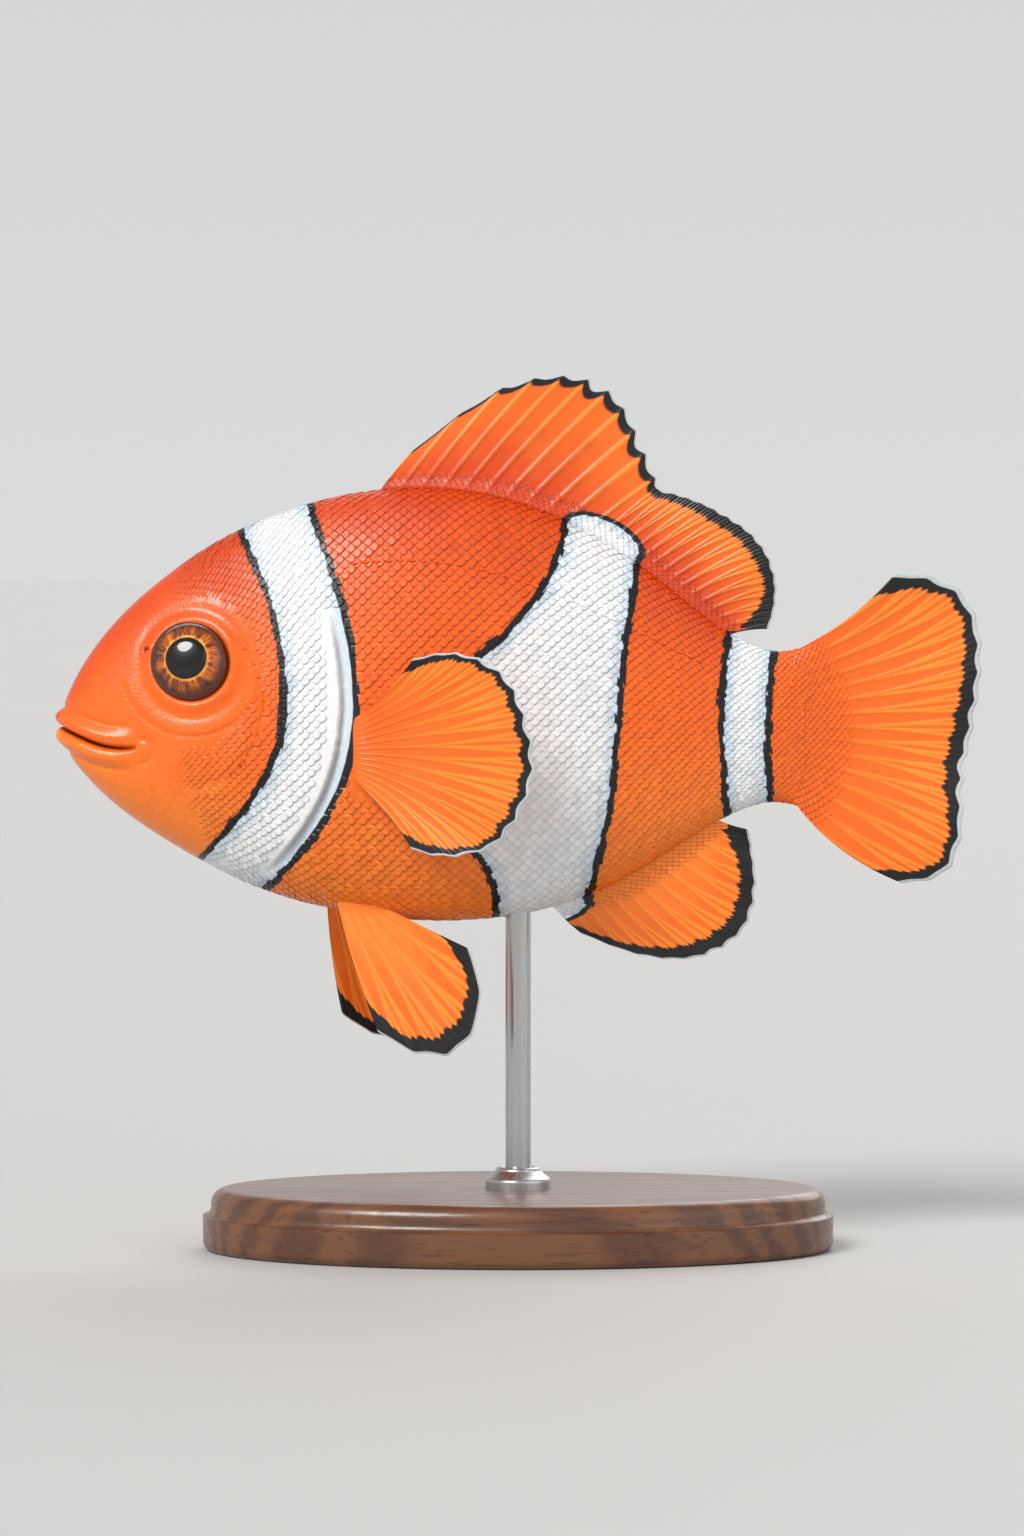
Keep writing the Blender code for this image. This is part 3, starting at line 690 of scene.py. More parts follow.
def make_skin(material):
    """One closed skin over head, jaw, gill covers, trunk and tail stalk, finest on the head."""
    head, body = FLANK.row(SKIN_FINE_TO), FLANK.row(SKIN_END)
    rows = np.concatenate([np.linspace(2, head, 235, endpoint=False), np.linspace(head, body, 60)])
    share = np.linspace(-1, 1, 165)
    t = share - 0.4 * np.sin(math.pi * share) / math.pi  # closest together on the middle of the flank
    grid_row, grid_t = np.meshgrid(rows, t, indexing="ij")
    depth = np.full(grid_row.shape, -SKIN_DEPTH)
    right = FLANK.lifted(grid_row, grid_t, depth, 1)
    left = FLANK.lifted(grid_row, grid_t, depth, -1)[:, -2:0:-1]
    ring = np.concatenate([right, left], axis=1)
    columns, around = ring.shape[:2]
    front, rear = ring[0].mean(axis=0), ring[-1].mean(axis=0)
    points = np.concatenate([ring.reshape(-1, 3), [front - (0.15, 0, 0)], [rear]])
    tip, last = len(points) - 2, (columns - 1) * around
    j = np.arange(around)
    k, tips = (j + 1) % around, np.full(around, tip)
    caps = np.stack([k, j, tips, tips, last + j, last + k, tips + 1, tips + 1], axis=1).reshape(-1, 4)
    faces = np.concatenate([grid_faces(columns, around, closed=True), caps])
    u = np.repeat((rows - rows[0]) / (rows[-1] - rows[0]), around)
    v = np.tile(j / around, columns)
    places = np.stack([0.02 + 0.96 * u, 0.02 + 0.96 * v], axis=-1)
    places = np.concatenate([places, [(0.01, 0.5), (0.99, 0.5)]])[faces]
    wraps = np.ptp(places[..., 1], axis=1) > 0.6
    places[wraps, :, 1] += 0.96 * (places[wraps, :, 1] < 0.3)
    nodes = ("head", "lower_jaw", "gill_cover_left", "gill_cover_right", "trunk", "tail_stalk")
    piece("skin", points, faces, material, body_marks(points), places, nodes)


def row_pitch(s):
    """Distance between rows of scales: closest on the face and the tail stalk."""
    girth = np.interp(s, FLANK.s, FLANK.girth_up + FLANK.girth_down)
    return SCALE_PITCH * (girth / FLANK.girth_most) ** 0.45 * (0.72 + 0.28 * smooth(s, 7, 27))


def bare_distance(s, z):
    """How far from the bare snout and chin, and from the bare skin round the eye, widest below it."""
    snout = s - edge_line(SCALED_FROM, z)
    below = smooth(EYE[1] - z, -3.0, 2.0) * (1 - smooth(s, 15.0, 19.0))
    return np.minimum(snout, 1.5 * (distance_from(s, z, EYE) - 5.0 - 1.9 * below))


def fold_nearness(s, z):
    """Near 0 where a scale would bridge the edge of the cheek or gill cover or the pectoral fin's root, and
    over 1 away from them."""
    gill = gill_distance(s, z)[0]
    cheek, turn = cheek_distance(s, z)
    on_cheek = (np.abs(cheek + 0.25) < 0.42) & (turn > -85) & (turn < 52)
    past_end = np.maximum(np.maximum(z - GILL_TOP + 1.0, GILL_FOOT - z), 0)
    from_gill = np.hypot((gill - 0.15) / 1.2, past_end / 1.3)
    from_root = np.hypot((s - PECTORAL_ROOT[0]) / 1.65, (z - PECTORAL_ROOT[1]) / 3.6)
    return np.where(on_cheek, 0, np.minimum(from_gill, from_root))


def row_share(s, rows):
    """t of rows of scales, counted from the line of the greatest width."""
    return rows * row_pitch(s) / FLANK.girth(s, rows > 0)


def scale_roots():
    """s, the count of rows from the middle line and the nearness to bare skin of each scale on a flank."""
    found = []
    s, column = FIRST_COLUMN, 0
    while s < SCALED_TO:
        reach = [math.floor(float(FLANK.girth(s, up)) / row_pitch(s)) + 1 for up in (False, True)]
        rows = np.arange(-reach[0], reach[1] + 1) + 0.5 * (column % 2)
        found.append(np.stack([np.full(len(rows), s), rows]))
        s += SCALE_STEP * float(row_pitch(s))
        column += 1
    s, rows = np.concatenate(found, axis=1)
    t = row_share(s, rows)
    inside = np.abs(t) < 1
    s, rows = s[inside], rows[inside]
    z = FLANK.read(FLANK.row(s), t[inside])[2]
    ragged = np.random.default_rng(SEED).uniform(0, 1, len(s))
    bare = bare_distance(s, z)
    fold = fold_nearness(s + 0.3 * row_pitch(s), z)
    kept = (bare > 0.8 + 0.9 * ragged) & (fold > 1.25)
    nearness = (0.4 + 0.6 * smooth(bare[kept], 0.2, 4.8)) * (0.45 + 0.55 * smooth(fold[kept], 1.0, 1.7))
    return s[kept], rows[kept], nearness


def scale_shares():
    """Shares along and across one scale, over (scale, along, across)."""
    return np.array((0.0, 0.42, 0.72, 0.90, 1.0))[None, :, None], np.linspace(-1, 1, 5)[None, None, :]


def scale_outline(pitch):
    """Lengths along and across a scale with a round rear edge, from its root."""
    p, q = scale_shares()
    along = pitch * (SCALE_LENGTH * (p - 0.5) - SCALE_STEP * q**2 * smooth(p, 0.2, 1.0))
    return along, pitch * SCALE_HALF_WIDTH * q * (0.85 + 0.15 * smooth(p, 0, 0.5))


def scale_height(stands):
    """A scale's height over the skin: one that stands overlaps the next, and one that doesn't lies sunk."""
    p, q = scale_shares()
    stands = stands[:, None, None]
    return stands * (SCALE_RISE * p**1.3 + 0.02 * (1 - q**2)) - SCALE_SUNK * (2 - stands)


def body_scale_points(s, rows, stands, side):
    """The two faces of each scale on a flank, over (scale, face, along, across)."""
    along, _ = scale_outline(row_pitch(s)[:, None, None])
    at = s[:, None, None] + along
    arc = rows[:, None, None] * row_pitch(at) + scale_outline(row_pitch(at))[1]
    t = arc / FLANK.girth(at, arc > 0)
    past = np.abs(t) > 1
    row, t = FLANK.row(np.broadcast_to(at, t.shape)), np.clip(t, -1, 1)
    height = scale_height(stands) - SKIN_DEPTH
    faces = [FLANK.lifted(row, t, height - drop, side) for drop in (0.0, SCALE_THICK)]
    for points in faces:
        points[past, 1] *= 0.2
    return np.stack(faces, axis=1)


def join_scales(name, points, marks, place, shown, chance, material):
    """A piece of closed scales. place is where each root is on the bake map, and shown is how much each
    stands out from its neighbours in tint."""
    shape = points.shape[:-1]
    count, _, columns, across = shape
    faces = repeated(plate_faces(columns, across), count, 2 * columns * across)
    p, q = (np.broadcast_to(share[:, None], shape) for share in scale_shares())
    tint, shown = chance.uniform(0, 1, count)[:, None, None, None], shown[:, None, None, None]
    marks["bar"] = marks["bar"] + 0.3 * (tint - 0.5)
    marks |= {"rim": p * shown, "tint": 0.5 + (tint - 0.5) * shown}
    marks["ridge"] = np.stack(np.broadcast_arrays(q * 1.2, p * 0.3, tint * 9), axis=-1)
    places = bake_places(place[:, None, None, None], np.stack([p * 2 - 1, q], axis=-1))
    piece(name, points, faces, material, marks, places)


def make_scales(material):
    """Scales in staggered rows, in pieces for each side of the head, flank and tail."""
    s, rows, nearness = scale_roots()
    chance = np.random.default_rng(SEED)
    zones = {"head": s < HEAD_TO, "flank": (s >= HEAD_TO) & (s < FLANK_TO), "tail": s >= FLANK_TO}
    for label, side in SIDES.items():
        for zone, chosen in zones.items():
            root, row, near = s[chosen], rows[chosen], nearness[chosen]
            points = body_scale_points(root, row, near * chance.uniform(0.85, 1.2, len(root)), side)
            place = np.stack([root / SCALED_TO, (row_share(root, row) + 1) / 2], axis=-1)
            shown, name = smooth(near, 0.1, 0.7), f"scales_{zone}_{label}"
            join_scales(name, points, body_marks(points), place, shown, chance, material)


def make_lateral_line(material):
    """A row of small tubes on the scales, from the top of the gill cover to below the soft dorsal fin."""
    start, end = LATERAL_LINE
    s = [start]
    while s[-1] < end:
        s.append(s[-1] + 2 * SCALE_STEP * float(row_pitch(s[-1])))
    share, length, radius, ring = np.linspace(0, 1, 7), 0.66, 0.15, 10
    angle = np.linspace(0, 2 * math.pi, ring, endpoint=False)
    size = radius * (0.08 + np.sin(math.pi * share) ** 0.5)[None, :, None]
    root, along, angle = np.broadcast_arrays(np.array(s)[:, None, None], share[None, :, None], angle)
    at = root + length * (along - 0.5)
    arch = 0.60 - 0.10 * smooth(at, 34, 62)
    t = arch + size * np.cos(angle) / FLANK.girth(at, True)
    height = 0.09 + size * np.sin(angle) - SKIN_DEPTH
    faces = repeated(grid_faces(len(share), ring, closed=True), len(s), len(share) * ring)
    patch = np.stack([along * 2 - 1, np.cos(angle)], axis=-1)
    places = bake_places(np.stack([root / SCALED_TO, (arch + 1) / 2], axis=-1), patch)
    for label, side in SIDES.items():
        points = FLANK.lifted(FLANK.row(at), t, height, side)
        marks = body_marks(points) | {"rim": [0.0], "tint": [0.6], "ridge": [0.0, 0.0, 0.0]}
        piece(f"lateral_line_{label}", points, faces, material, marks, places)


# ---- fins ----

UPRIGHT = np.array([(1, 0, 0), (0, 0, 1), (0, 1, 0)])
FIN_DEFAULTS = {
    "notch": 0.02,  # how far the edge dips between two rays, as a share of their length
    "root_depth": 1.6,  # how far inside the body the rays begin
    "branching": 1.0,  # 1 where the rays fork and 0 for spines
    "steps": 16,  # columns of points from one ray to the next
    "rows": 56,  # points along a ray
    "ray_thick": 0.24,  # half the thickness of a ray where it begins
    "flesh": 0.45,  # added to half the thickness at the root line
    "sheath": 1.6,  # how far from the root line the flesh fades away
    "black": (1.0, 1.0),  # width of the black band with the pale margin, along the edge
    "pale": 0.22,  # width of the pale margin
    "bar": None,  # how far inside a white bar, at shares across and distances beyond the root line
}


def fin_spec(**values):
    """A fin's values, with those that most fins share. Lists run evenly from the first ray to the last."""
    return SimpleNamespace(**(FIN_DEFAULTS | values))


def per_ray(values, rays):
    return even_spline(values, np.linspace(0, 1, rays))


def ray_lengths(spec, across):
    """How long the fin is at shares across, from its rays' inner ends; its edge dips between the rays."""
    phase = across * (spec.rays - 1)
    chance = np.random.default_rng(spec.seed)
    depth = np.broadcast_to(spec.notch, spec.rays - 1) * chance.uniform(0.6, 1.4, spec.rays - 1)
    web = np.minimum(phase.astype(int), spec.rays - 2)
    dip = 1 - depth[web] * np.abs(np.sin(math.pi * phase)) ** 1.3
    return (even_spline(spec.lengths, across) * dip + spec.root_depth)[:, None]


def fan(spec, across, out):
    """(s, z) points of a fin's middle surface, at shares across (front to rear) and out (root to tip). out
    has a row for each share across."""
    lengths = ray_lengths(spec, across)
    leans = (spec.start_lean, spec.tip_lean)
    start, tip = (np.radians(even_spline(lean, across))[:, None] for lean in leans)
    heading = np.concatenate([np.cos(start), np.sin(start)], axis=1)
    roots = np.stack(spec.root_line(across), axis=1) - heading * spec.root_depth
    reach = np.concatenate([np.cos(tip), np.sin(tip)], axis=1) * lengths
    control = roots + heading * lengths / 2
    first, middle, last = (points[:, None, :] for points in (roots, control, roots + reach))
    share = out[..., None]
    return (1 - share) ** 2 * first + 2 * share * (1 - share) * middle + share**2 * last


# Each fork of a ray: how far it opens, in gaps between rays, and the shares of the way out where it opens
FORKS = ((0.235, 0.22, 0.92), (0.115, 0.52, 1.0))
WEB_HALF_THICK = 0.05  # at the fin's edge; twice that at the root


def ray_ridges(phase, out, branching):
    """From 0 on the web to 1 on the middle of a ray. A soft ray forks twice on its way out."""
    off = np.abs((phase + 0.5) % 1 - 0.5)
    first, second = (opening * smooth(out, start, end) * branching for opening, start, end in FORKS)
    nearest = np.abs(np.abs(off - first) - second)
    width = 0.13 - (0.04 * out + 0.035 * smooth(out, 0.25, 0.8) * branching)
    return bump(nearest, width)


def fin_relief(spec, across, out):
    """The rays' ridges, the distance beyond the root line, and half the fin's thickness."""
    phase = across[:, None] * (spec.rays - 1)
    branching = even_spline(spec.branching, across)[:, None] if np.ndim(spec.branching) else 1.0
    ray = ray_ridges(phase, out, branching)
    beyond = out * ray_lengths(spec, across) - spec.root_depth
    web = WEB_HALF_THICK * (2 - out)
    filled = 0.85 * (1 - smooth(beyond, 0, 0.8 * spec.sheath))
    half = web + (spec.ray_thick * (1 - 0.66 * out) - web) * (ray + (1 - ray) * filled)
    fleshy = spec.flesh * (0.25 + 0.75 * np.sqrt(np.sin(math.pi * across)))[:, None]
    half += fleshy * np.clip(1 - np.abs(beyond) / spec.sheath, 0, 1) ** 2
    return ray, beyond, half * (1 - 0.75 * smooth(out, 0.965, 1.0))


def fin_body(name, spec, place, material, replaces):
    """A fin as a closed plate with rays in relief. place turns (s, z) points, shares across and out, and an
    offset from the middle surface into points in space."""
    across = np.linspace(0, 1, (spec.rays - 1) * spec.steps + 1)
    out = np.broadcast_to(np.linspace(0, 1, spec.rows) ** 0.85, (len(across), spec.rows))
    surface, lengths = fan(spec, across, out), ray_lengths(spec, across)
    ray, beyond, half = fin_relief(spec, across, out)
    a = across[:, None]
    sides = np.stack([place(surface, a, out, half), place(surface, a, out, -half)])
    to_edge, nearest = (1 - out) * lengths, np.floor(a * (spec.rays - 1) + 0.5)
    marks = fin_marks(spec, surface, across, beyond) | {
        "ray": ray,
        "out": np.clip(beyond / (lengths - spec.root_depth), 0, 1),
        "edge": to_edge - even_spline(spec.black, across)[:, None],
        "pale": to_edge - spec.pale,
        "rings": np.stack(np.broadcast_arrays(beyond, 0.0, nearest), axis=-1),
    }
    near = np.stack(np.broadcast_arrays(0.02 + 0.96 * a, 0.02 + 0.46 * out), axis=-1)
    faces = plate_faces(*ray.shape)
    piece(name, sides, faces, material, marks, plate_map(near, faces), replaces)


def fin_marks(spec, surface, across, beyond):
    bar = spec.bar(across, beyond) if spec.bar else np.full(beyond.shape, -9.0)
    return {"bar": bar, "shade": shade_mark(surface[..., 0], surface[..., 1])}


def fin_scale_roots(spec, length, reach):
    """Places along the root line, distances beyond it and standing of the scales on a fin's root."""
    count = int(length / FIN_SCALE_PITCH)
    rows = np.arange(-0.5, reach, SCALE_STEP * FIN_SCALE_PITCH)
    beyond = np.repeat(rows, count)
    shift = np.repeat(0.25 + 0.5 * (np.arange(len(rows)) % 2), count)
    share = (np.tile(np.arange(count), len(rows)) + shift) / count
    ragged = np.random.default_rng(spec.seed + SEED).uniform(0, 1, len(share))
    stands = 1 - smooth(beyond / (reach * np.sin(math.pi * (0.12 + 0.76 * share)) ** 0.5), 0.1, 1.0)
    kept = stands > 0.1 + 0.3 * ragged
    return length * share[kept], beyond[kept], stands[kept]


def make_fin_scales(name, spec, place, reach, material):
    """Small scales that climb from the body onto both sides of a fin's root."""
    shares = np.linspace(0, 1, 400)
    s, z = spec.root_line(shares)
    line = np.concatenate([[0], np.cumsum(np.hypot(np.diff(s), np.diff(z)))])
    at, root, stands = fin_scale_roots(spec, line[-1], reach)
    along, sideways = np.broadcast_arrays(*scale_outline(FIN_SCALE_PITCH))
    across = np.interp(at[:, None, None] + sideways, line, shares)
    shape = across.shape
    across = across.ravel()
    beyond = (root[:, None, None] + along).reshape(-1, 1)
    out = (beyond + spec.root_depth) / ray_lengths(spec, across)
    surface = fan(spec, across, out)
    height = fin_relief(spec, across, out)[2] + scale_height(stands).reshape(-1, 1) + 0.06
    faces = []
    for way in (1, -1):
        drops = [place(surface, across[:, None], out, way * (height - drop)) for drop in (0.0, SCALE_THICK)]
        points = np.stack([made.reshape(*shape, 3) for made in drops], axis=1)
        faces.append(points[..., ::way, :])
    marks = fin_marks(spec, surface, across, beyond) | {"dark": np.zeros(out.shape)}
    marks = {label: values.reshape(shape)[:, None] for label, values in marks.items()}
    marks = {label: np.concatenate([values, values[..., ::-1]]) for label, values in marks.items()}
    place = np.stack([at / line[-1], 0.45 * (root + 0.5) / (reach + 0.5)], axis=-1)
    place = np.concatenate([place, place + (0, 0.5)])
    chance = np.random.default_rng(spec.seed)
    shown = np.tile(smooth(stands, 0.1, 0.7), 2)
    join_scales(name, np.concatenate(faces), marks, place, shown, chance, material)


def placing(seed, size, sway=0.0, cup=0.0, origin=np.zeros(3), axes=UPRIGHT, side=1):
    """Places a fin, which opens about origin in the plane of the first two axes. Towards its edge it bends
    along the third: all over by cup, to one side and then the other by sway, and in small waves."""
    chance = np.random.default_rng(seed)
    waves = list(zip(chance.uniform(2.0, 4.6, 2), chance.uniform(0, 2 * math.pi, 2)))

    def place(surface, across, out, offset):
        flat = surface - origin[[0, 2]]
        ripple = sum(np.sin(2 * math.pi * count * across + start + 1.2 * out) for count, start in waves)
        bend = (cup + sway * np.sin(2 * math.pi * across)) * out**2 + size * out**1.6 * ripple + offset
        points = origin + flat[..., :1] * axes[0] + flat[..., 1:] * axes[1] + bend[..., None] * axes[2]
        return points * (1, side, 1)

    return place


def straight(start, end, bulge=0.0):
    return lambda share: (
        start[0] + (end[0] - start[0]) * share + bulge * np.sin(math.pi * share),
        start[1] + (end[1] - start[1]) * share,
    )


def along_body(s_of, outline):
    """The line on the back or belly, by s at each share of the fin."""
    return lambda share: (s_of(share), np.interp(s_of(share), FLANK.s, outline))


def rising_bar(s_of, outline, rise):
    """A bar of the body that carries on up a fin along its rays, to a round end."""
    half_width = 3.4  # where the fin begins

    def inside_bar(across, beyond):
        s = s_of(across)
        inside = bar_distance(s, np.interp(s, FLANK.s, outline))[:, None]
        return half_width * (1 - np.hypot(1 - inside / half_width, np.clip(beyond, 0, None) / rise))

    return inside_bar


def make_upright_fin(name, spec, place, reach, finishes, replaces):
    """A fin in the fish's middle plane, and the small scales on its root."""
    fin, scales = finishes
    fin_body(name, spec, place, fin, replaces)
    make_fin_scales(f"scales_{name.split('_')[0]}_root", spec, place, reach, scales)


def make_dorsal_fin(finishes):
    """One fin of 11 spines and 15 soft rays, with a dip where they meet."""
    spines, soft = 11, 15
    roots = np.concatenate([np.linspace(31.6, 51.9, spines), np.linspace(53.0, 65.8, soft)])
    rays = spines + soft

    def s_of(share):
        return np.interp(share * (rays - 1), np.arange(rays), roots)

    def joined(front, rear):
        return np.concatenate([per_ray(front, spines), per_ray(rear, soft)])

    spec = fin_spec(
        rays=rays,
        seed=11,
        root_line=along_body(s_of, FLANK.back),
        lengths=joined((5.0, 11.6, 14.4, 15.1, 13.9, 11.2, 8.4), (7.5, 8.6, 9.4, 9.8, 9.0, 6.8, 3.6)),
        start_lean=joined((58, 56, 54, 51, 48, 45, 43), (43, 42, 40, 38, 35, 31, 26)),
        tip_lean=joined((52, 52, 50, 48, 45, 42, 39), (39, 37, 34, 30, 25, 19, 12)),
        notch=np.where(np.arange(rays - 1) < spines - 1, 0.045, 0.015),
        branching=np.where(np.arange(rays) < spines, 0.0, 1.0),
        ray_thick=0.30,
        black=joined((0.9, 0.9, 1.0, 1.0, 0.9), (1.0, 1.2, 1.4, 1.4, 1.3, 1.4, 3.4)),
        pale=0.16,
        bar=rising_bar(s_of, FLANK.back, 1.9),
    )
    nodes = ["dorsal_fin_spines", "dorsal_fin_soft"]
    make_upright_fin("dorsal_fin", spec, placing(1, 0.14, sway=0.5), 2.6, finishes, nodes)


def make_tail_fin(finishes):
    spec = fin_spec(
        rays=15,
        seed=12,
        root_line=straight((72.0, 5.6), (72.0, -9.2), bulge=0.8),
        lengths=(12.4, 17.4, 18.6, 17.8, 16.8, 16.2, 16.9, 17.0, 13.1),
        start_lean=(22, 16, 10, 5, 0, -5, -13, -30, -58),
        tip_lean=(36, 28, 18, 9, 0, -9, -19, -30, -39),
        steps=18,
        rows=76,
        flesh=0.8,
        sheath=6.5,
        black=(3.0, 1.3, 1.5, 1.8, 1.9, 1.8, 1.5, 1.3, 3.0),
        pale=0.45,
    )
    make_upright_fin("tail_fin_rayed", spec, placing(3, 0.18, sway=0.8), 7.0, finishes, ["tail_fin"])


def make_anal_fin(finishes):
    def s_of(share):
        return 48.4 + 16.2 * share

    spec = fin_spec(
        rays=14,
        seed=13,
        root_line=along_body(s_of, FLANK.belly),
        lengths=(3.8, 8.2, 10.8, 11.6, 10.3, 6.9, 3.0),
        start_lean=(-54, -51, -48, -44, -40, -35, -30),
        tip_lean=(-46, -44, -41, -37, -32, -26, -20),
        black=(1.6, 1.9, 1.9, 1.8, 1.7, 1.8, 3.2),
        bar=rising_bar(s_of, FLANK.belly, 1.7),
    )
    make_upright_fin("anal_fin_rayed", spec, placing(4, 0.14, sway=-0.5), 2.6, finishes, ["anal_fin"])


def make_pectoral_fins(material):
    splay = math.radians(32)
    out = (math.cos(splay), math.sin(splay), 0)
    axes = np.array([out, (0, 0, 1), (-math.sin(splay), math.cos(splay), 0)])
    s, z = PECTORAL_ROOT
    top, foot = (s - 0.2, z + 3.3), (s + 0.2, z - 3.3)
    spec = fin_spec(
        rays=16,
        seed=14,
        root_line=straight(top, foot),
        lengths=(9.0, 15.2, 19.2, 20.4, 19.3, 15.0, 8.6),
        start_lean=(30, 21, 11, 0, -11, -22, -34),
        tip_lean=(38, 28, 15, 0, -15, -29, -42),
        rows=66,
        flesh=0.6,
        sheath=2.8,
        black=(2.2, 1.0, 1.2, 1.3, 1.2, 1.0, 2.2),
        pale=0.3,
    )
    origin = np.array([s, float(flank_side(s, z)), z])
    for label, side in SIDES.items():
        place = placing(5, 0.16, cup=1.2, origin=origin, axes=axes, side=side)
        fin_body(f"pectoral_{label}_rayed", spec, place, material, [f"pectoral_fin_{label}"])


def make_pelvic_fins(material):
    """Both splay and swing forward by some degrees, the right one more, and from further ahead."""
    for label, splay, swing, ahead in (("left", 16, 8, 0.5), ("right", 32, 20, 1.6)):
        side, lean = SIDES[label], math.radians(splay)
        up = (0, -math.sin(lean), math.cos(lean))
        axes = np.array([(1, 0, 0), up, (0, math.cos(lean), math.sin(lean))])
        front, rear = (27.8 - ahead, -18.7), (32.0 - ahead, -19.1)
        spec = fin_spec(
            rays=6,
            seed=15,
            root_line=straight(front, rear),
            lengths=(13.4, 16.4, 17.6, 16.8, 13.7, 9.6),
            start_lean=np.array([-70, -63, -55, -46, -33, -20]) - swing,
            tip_lean=np.array([-65, -58, -51, -43, -31, -18]) - swing,
            steps=28,
            rows=62,
            black=(3.2, 1.9, 1.9, 2.0, 1.8, 1.7, 3.0),
            pale=0.2,
        )
        origin = np.array([(front[0] + rear[0]) / 2, 2.4, front[1]])
        place = placing(6, 0.12, cup=-0.8, origin=origin, axes=axes, side=side)
        fin_body(f"pelvic_{label}_rayed", spec, place, material, [f"pelvic_fin_{label}"])


# ---- eyes ----


def make_eyes(material):
    """Each eye is turned from one profile: a pupil that bulges a little, the iris, a rim round it, and the
    ball behind."""
    s, z = EYE
    y = float(flank_side(s, z)) + EYE_PROUD - EYE_HALF_DEPTH
    front = np.sin(np.linspace(0, math.pi / 2, 76)) * EYE_RADIUS
    radius = np.concatenate([front, np.sin(np.linspace(math.pi / 2, math.pi, 16))[1:] * EYE_RADIUS])
    height = EYE_HALF_DEPTH * np.sqrt(np.clip(1 - (radius / EYE_RADIUS) ** 2, 0, 1))
    height[len(front) :] *= -1
    height[: len(front)] += 0.10 * (1 - smooth(front, PUPIL_RADIUS - 0.5, PUPIL_RADIUS + 0.1))
    height[: len(front)] += 0.12 * smooth(front, IRIS_RADIUS - 0.03, IRIS_RADIUS + 0.14)
    radius, height = radius[:, None, None], height[:, None, None]
    turn = np.linspace(0, 2 * math.pi, 96, endpoint=False)[:, None]
    faces = grid_faces(len(radius), len(turn), closed=True)
    painted = np.where(np.arange(len(radius))[:, None] < len(front), radius[..., 0], EYE_RADIUS)
    spoke = np.concatenate(np.broadcast_arrays(np.cos(turn), np.sin(turn), 0.10 * radius), axis=-1)
    marks = {"radius": painted, "spoke": spoke}
    flat = math.cos(EYE_LIFT)
    for label, side in SIDES.items():
        axis = (-math.sin(EYE_TURN) * flat, side * math.cos(EYE_TURN) * flat, math.sin(EYE_LIFT))
        level = np.cross(axis, (0, 0, 1))
        level /= np.linalg.norm(level)
        ring = np.cos(turn) * level + np.sin(turn) * np.cross(level, axis)
        points = np.array([s, side * y, z]) + radius * ring + height * np.array(axis)
        piece(f"eyeball_{label}", points, faces, material, marks, replaces=[f"eye_{label}"])


# ---- stand ----


def turned(name, profile, centre, material, node, segments, longer=0.0):
    """A solid turned from (radius, height) points in millimetres above the table, in the place of a node.
    longer is how much more the half length is than the half width, all the way in."""
    around = np.linspace(0, 2 * math.pi, segments, endpoint=False)
    radius, height = (np.array(column)[:, None] for column in zip(*profile))
    x = centre + (radius + longer * np.clip(radius / 6, 0, 1)) * np.cos(around)
    points = np.stack(np.broadcast_arrays(x, radius * np.sin(around), height - AXIS_HEIGHT), axis=-1)
    faces = grid_faces(len(radius), segments, closed=True)
    piece(name, points, faces, material, replaces=[node], smooth_angle=35)


def arc(centre_r, centre_h, radius, start, end, count=7):
    angle = np.radians(np.linspace(start, end, count))
    return [(centre_r + radius * math.cos(a), centre_h + radius * math.sin(a)) for a in angle]


def solid_size(node):
    """Half length, half width, bottom, top and the middle's s of a solid, in millimetres."""
    low, high = (np.array(corner) * 1000 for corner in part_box(node))
    half = (high - low) / 2
    return half[0], half[1], low[2], high[2], (low[0] + high[0]) / 2 + TOTAL_LENGTH / 2


def make_stand(wood, steel):
    length, wide, _, top, _ = solid_size("stand_base")
    profile = [(0.0, 0.8), (wide - 5.0, 0.8), (wide - 5.0, 0.0), (wide - 1.0, 0.0)]
    profile += arc(wide - 0.9, 0.9, 0.9, -80, 0)
    profile += [(wide, top - 2.6)]
    profile += arc(wide, top - 1.8, 0.8, 260, 180, 5)
    profile += arc(wide - 2.2, top - 1.4, 1.4, 0, 90, 9)
    profile += [(0.0, top)]
    middle = TOTAL_LENGTH / 2
    turned("base_turned", profile, middle, wood, "stand_base", 192, length - wide)

    rod, _, foot, top, centre = solid_size("stand_rod")
    profile = [(0.0, foot - 0.35), (rod, foot - 0.35), (rod, top + 0.9), (0.0, top + 0.9)]
    turned("rod_turned", profile, centre, steel, "stand_rod", 64)

    wide, _, foot, top, _ = solid_size("stand_collar")
    profile = [(rod + 0.05, foot - 0.3), (wide, foot - 0.3), (wide, foot + 0.35)]
    profile += arc(wide - 0.3, foot + 0.5, 0.3, 0, 80, 4)
    profile += [(rod + 0.95, top - 0.35)]
    profile += arc(rod + 0.6, top - 0.35, 0.35, 20, 110, 5)
    profile += [(rod + 0.05, top - 0.1)]
    turned("collar_turned", profile, centre, steel, "stand_collar", 64)


# ---- stage ----


def make_floor(material):
    mesh = bpy.data.meshes.new("floor")
    reach = 12.0
    corners = [(-reach, -reach, 0), (reach, -reach, 0), (reach, reach, 0), (-reach, reach, 0)]
    mesh.from_pydata(corners, [], [(0, 1, 2, 3)])
    mesh.materials.append(material)
    floor = bpy.data.objects.new("floor", mesh)
    bpy.context.scene.collection.objects.link(floor)


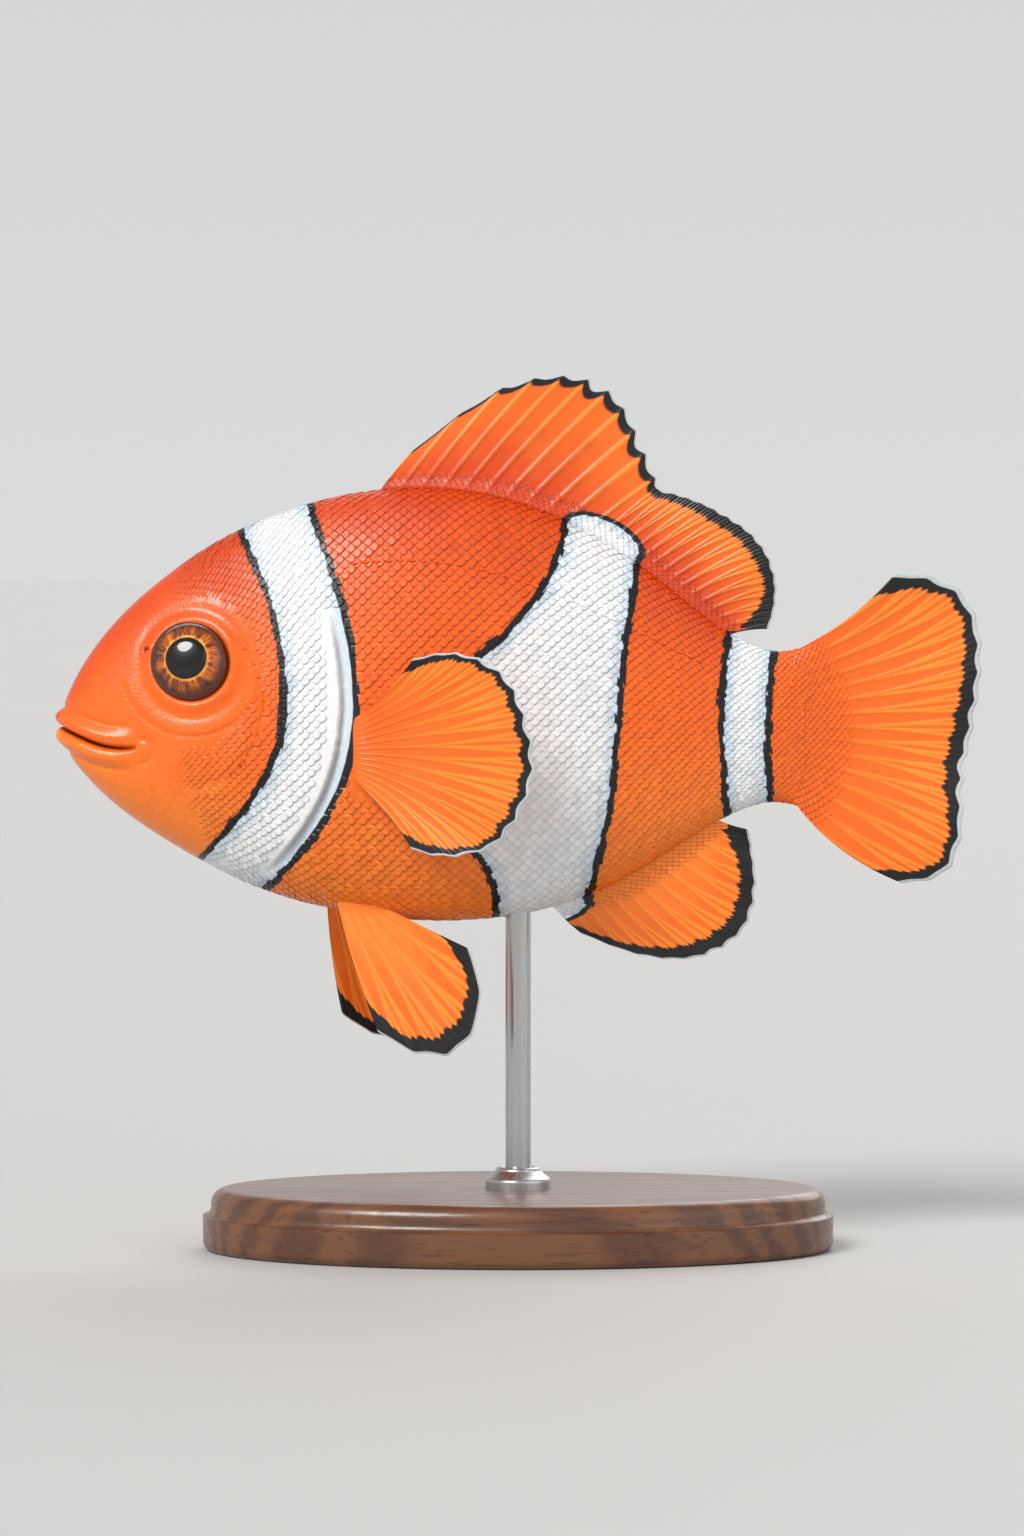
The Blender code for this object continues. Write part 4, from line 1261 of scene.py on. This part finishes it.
def sun(name, direction, strength, spread, colour=(1, 1, 1)):
    """Soft light from a direction, spread over an angle in degrees."""
    light = bpy.data.lights.new(name, "SUN")
    light.energy = strength
    light.angle = math.radians(spread)
    light.color = colour
    made = bpy.data.objects.new(name, light)
    made.rotation_euler = Vector(direction).to_track_quat("Z", "Y").to_euler()
    bpy.context.scene.collection.objects.link(made)


def make_studio():
    sun("key", (-0.45, -0.66, 0.70), 2.6, 24, (1.0, 0.98, 0.95))
    sun("fill", (0.8, -0.5, 0.35), 0.5, 60, (0.95, 0.97, 1.0))
    sun("back", (0.3, 0.7, 0.6), 1.1, 50)
    world = bpy.data.worlds.new("studio")
    world.use_nodes = True
    tree = world.node_tree
    height = tree.nodes.new("ShaderNodeSeparateXYZ")
    tree.links.new(tree.nodes.new("ShaderNodeTexCoord").outputs["Generated"], height.inputs[0])
    fade = tree.nodes.new("ShaderNodeMapRange")
    fade.inputs["From Max"].default_value = 0.7
    fade.inputs["To Min"].default_value = HORIZON
    fade.inputs["To Max"].default_value = ZENITH
    tree.links.new(height.outputs["Z"], fade.inputs["Value"])
    tree.links.new(fade.outputs[0], tree.nodes["Background"].inputs["Strength"])
    tree.nodes["Background"].inputs["Color"].default_value = (1.0, 1.0, 1.0, 1)
    bpy.context.scene.world = world


def make_camera():
    """Facing the fish's left side, so that it fills the frame's width as drawn, above the page's middle."""
    frame_width, across_centre, height_centre = 100.2, -0.6, 47.2
    elevation, distance = math.radians(2.0), 620.0
    camera = bpy.data.cameras.new("camera")
    camera.sensor_width = 36.0
    portrait = 1024 / 1536
    camera.lens = camera.sensor_width * portrait / 2 / (frame_width / 2 / distance)
    made = bpy.data.objects.new("camera", camera)
    centre = Vector((across_centre, 0, height_centre))
    made.location = (centre + Vector((0, -math.cos(elevation), math.sin(elevation))) * distance) * MM
    made.rotation_euler = (math.pi / 2 - elevation, 0, 0)
    bpy.context.scene.collection.objects.link(made)
    bpy.context.scene.camera = made


FLANK = Flank()
make_camera()
make_skin(skin_finish())
scales = scale_finish()
make_scales(scales)
make_lateral_line(scales)
fins = fin_finish()
for make_fin in (make_dorsal_fin, make_tail_fin, make_anal_fin):
    make_fin((fins, scales))
make_pectoral_fins(fins)
make_pelvic_fins(fins)
make_eyes(eye_finish())
make_stand(wood_finish(), steel_finish())
make_floor(floor_finish())
make_studio()
bpy.context.scene.view_settings.view_transform = "Standard"
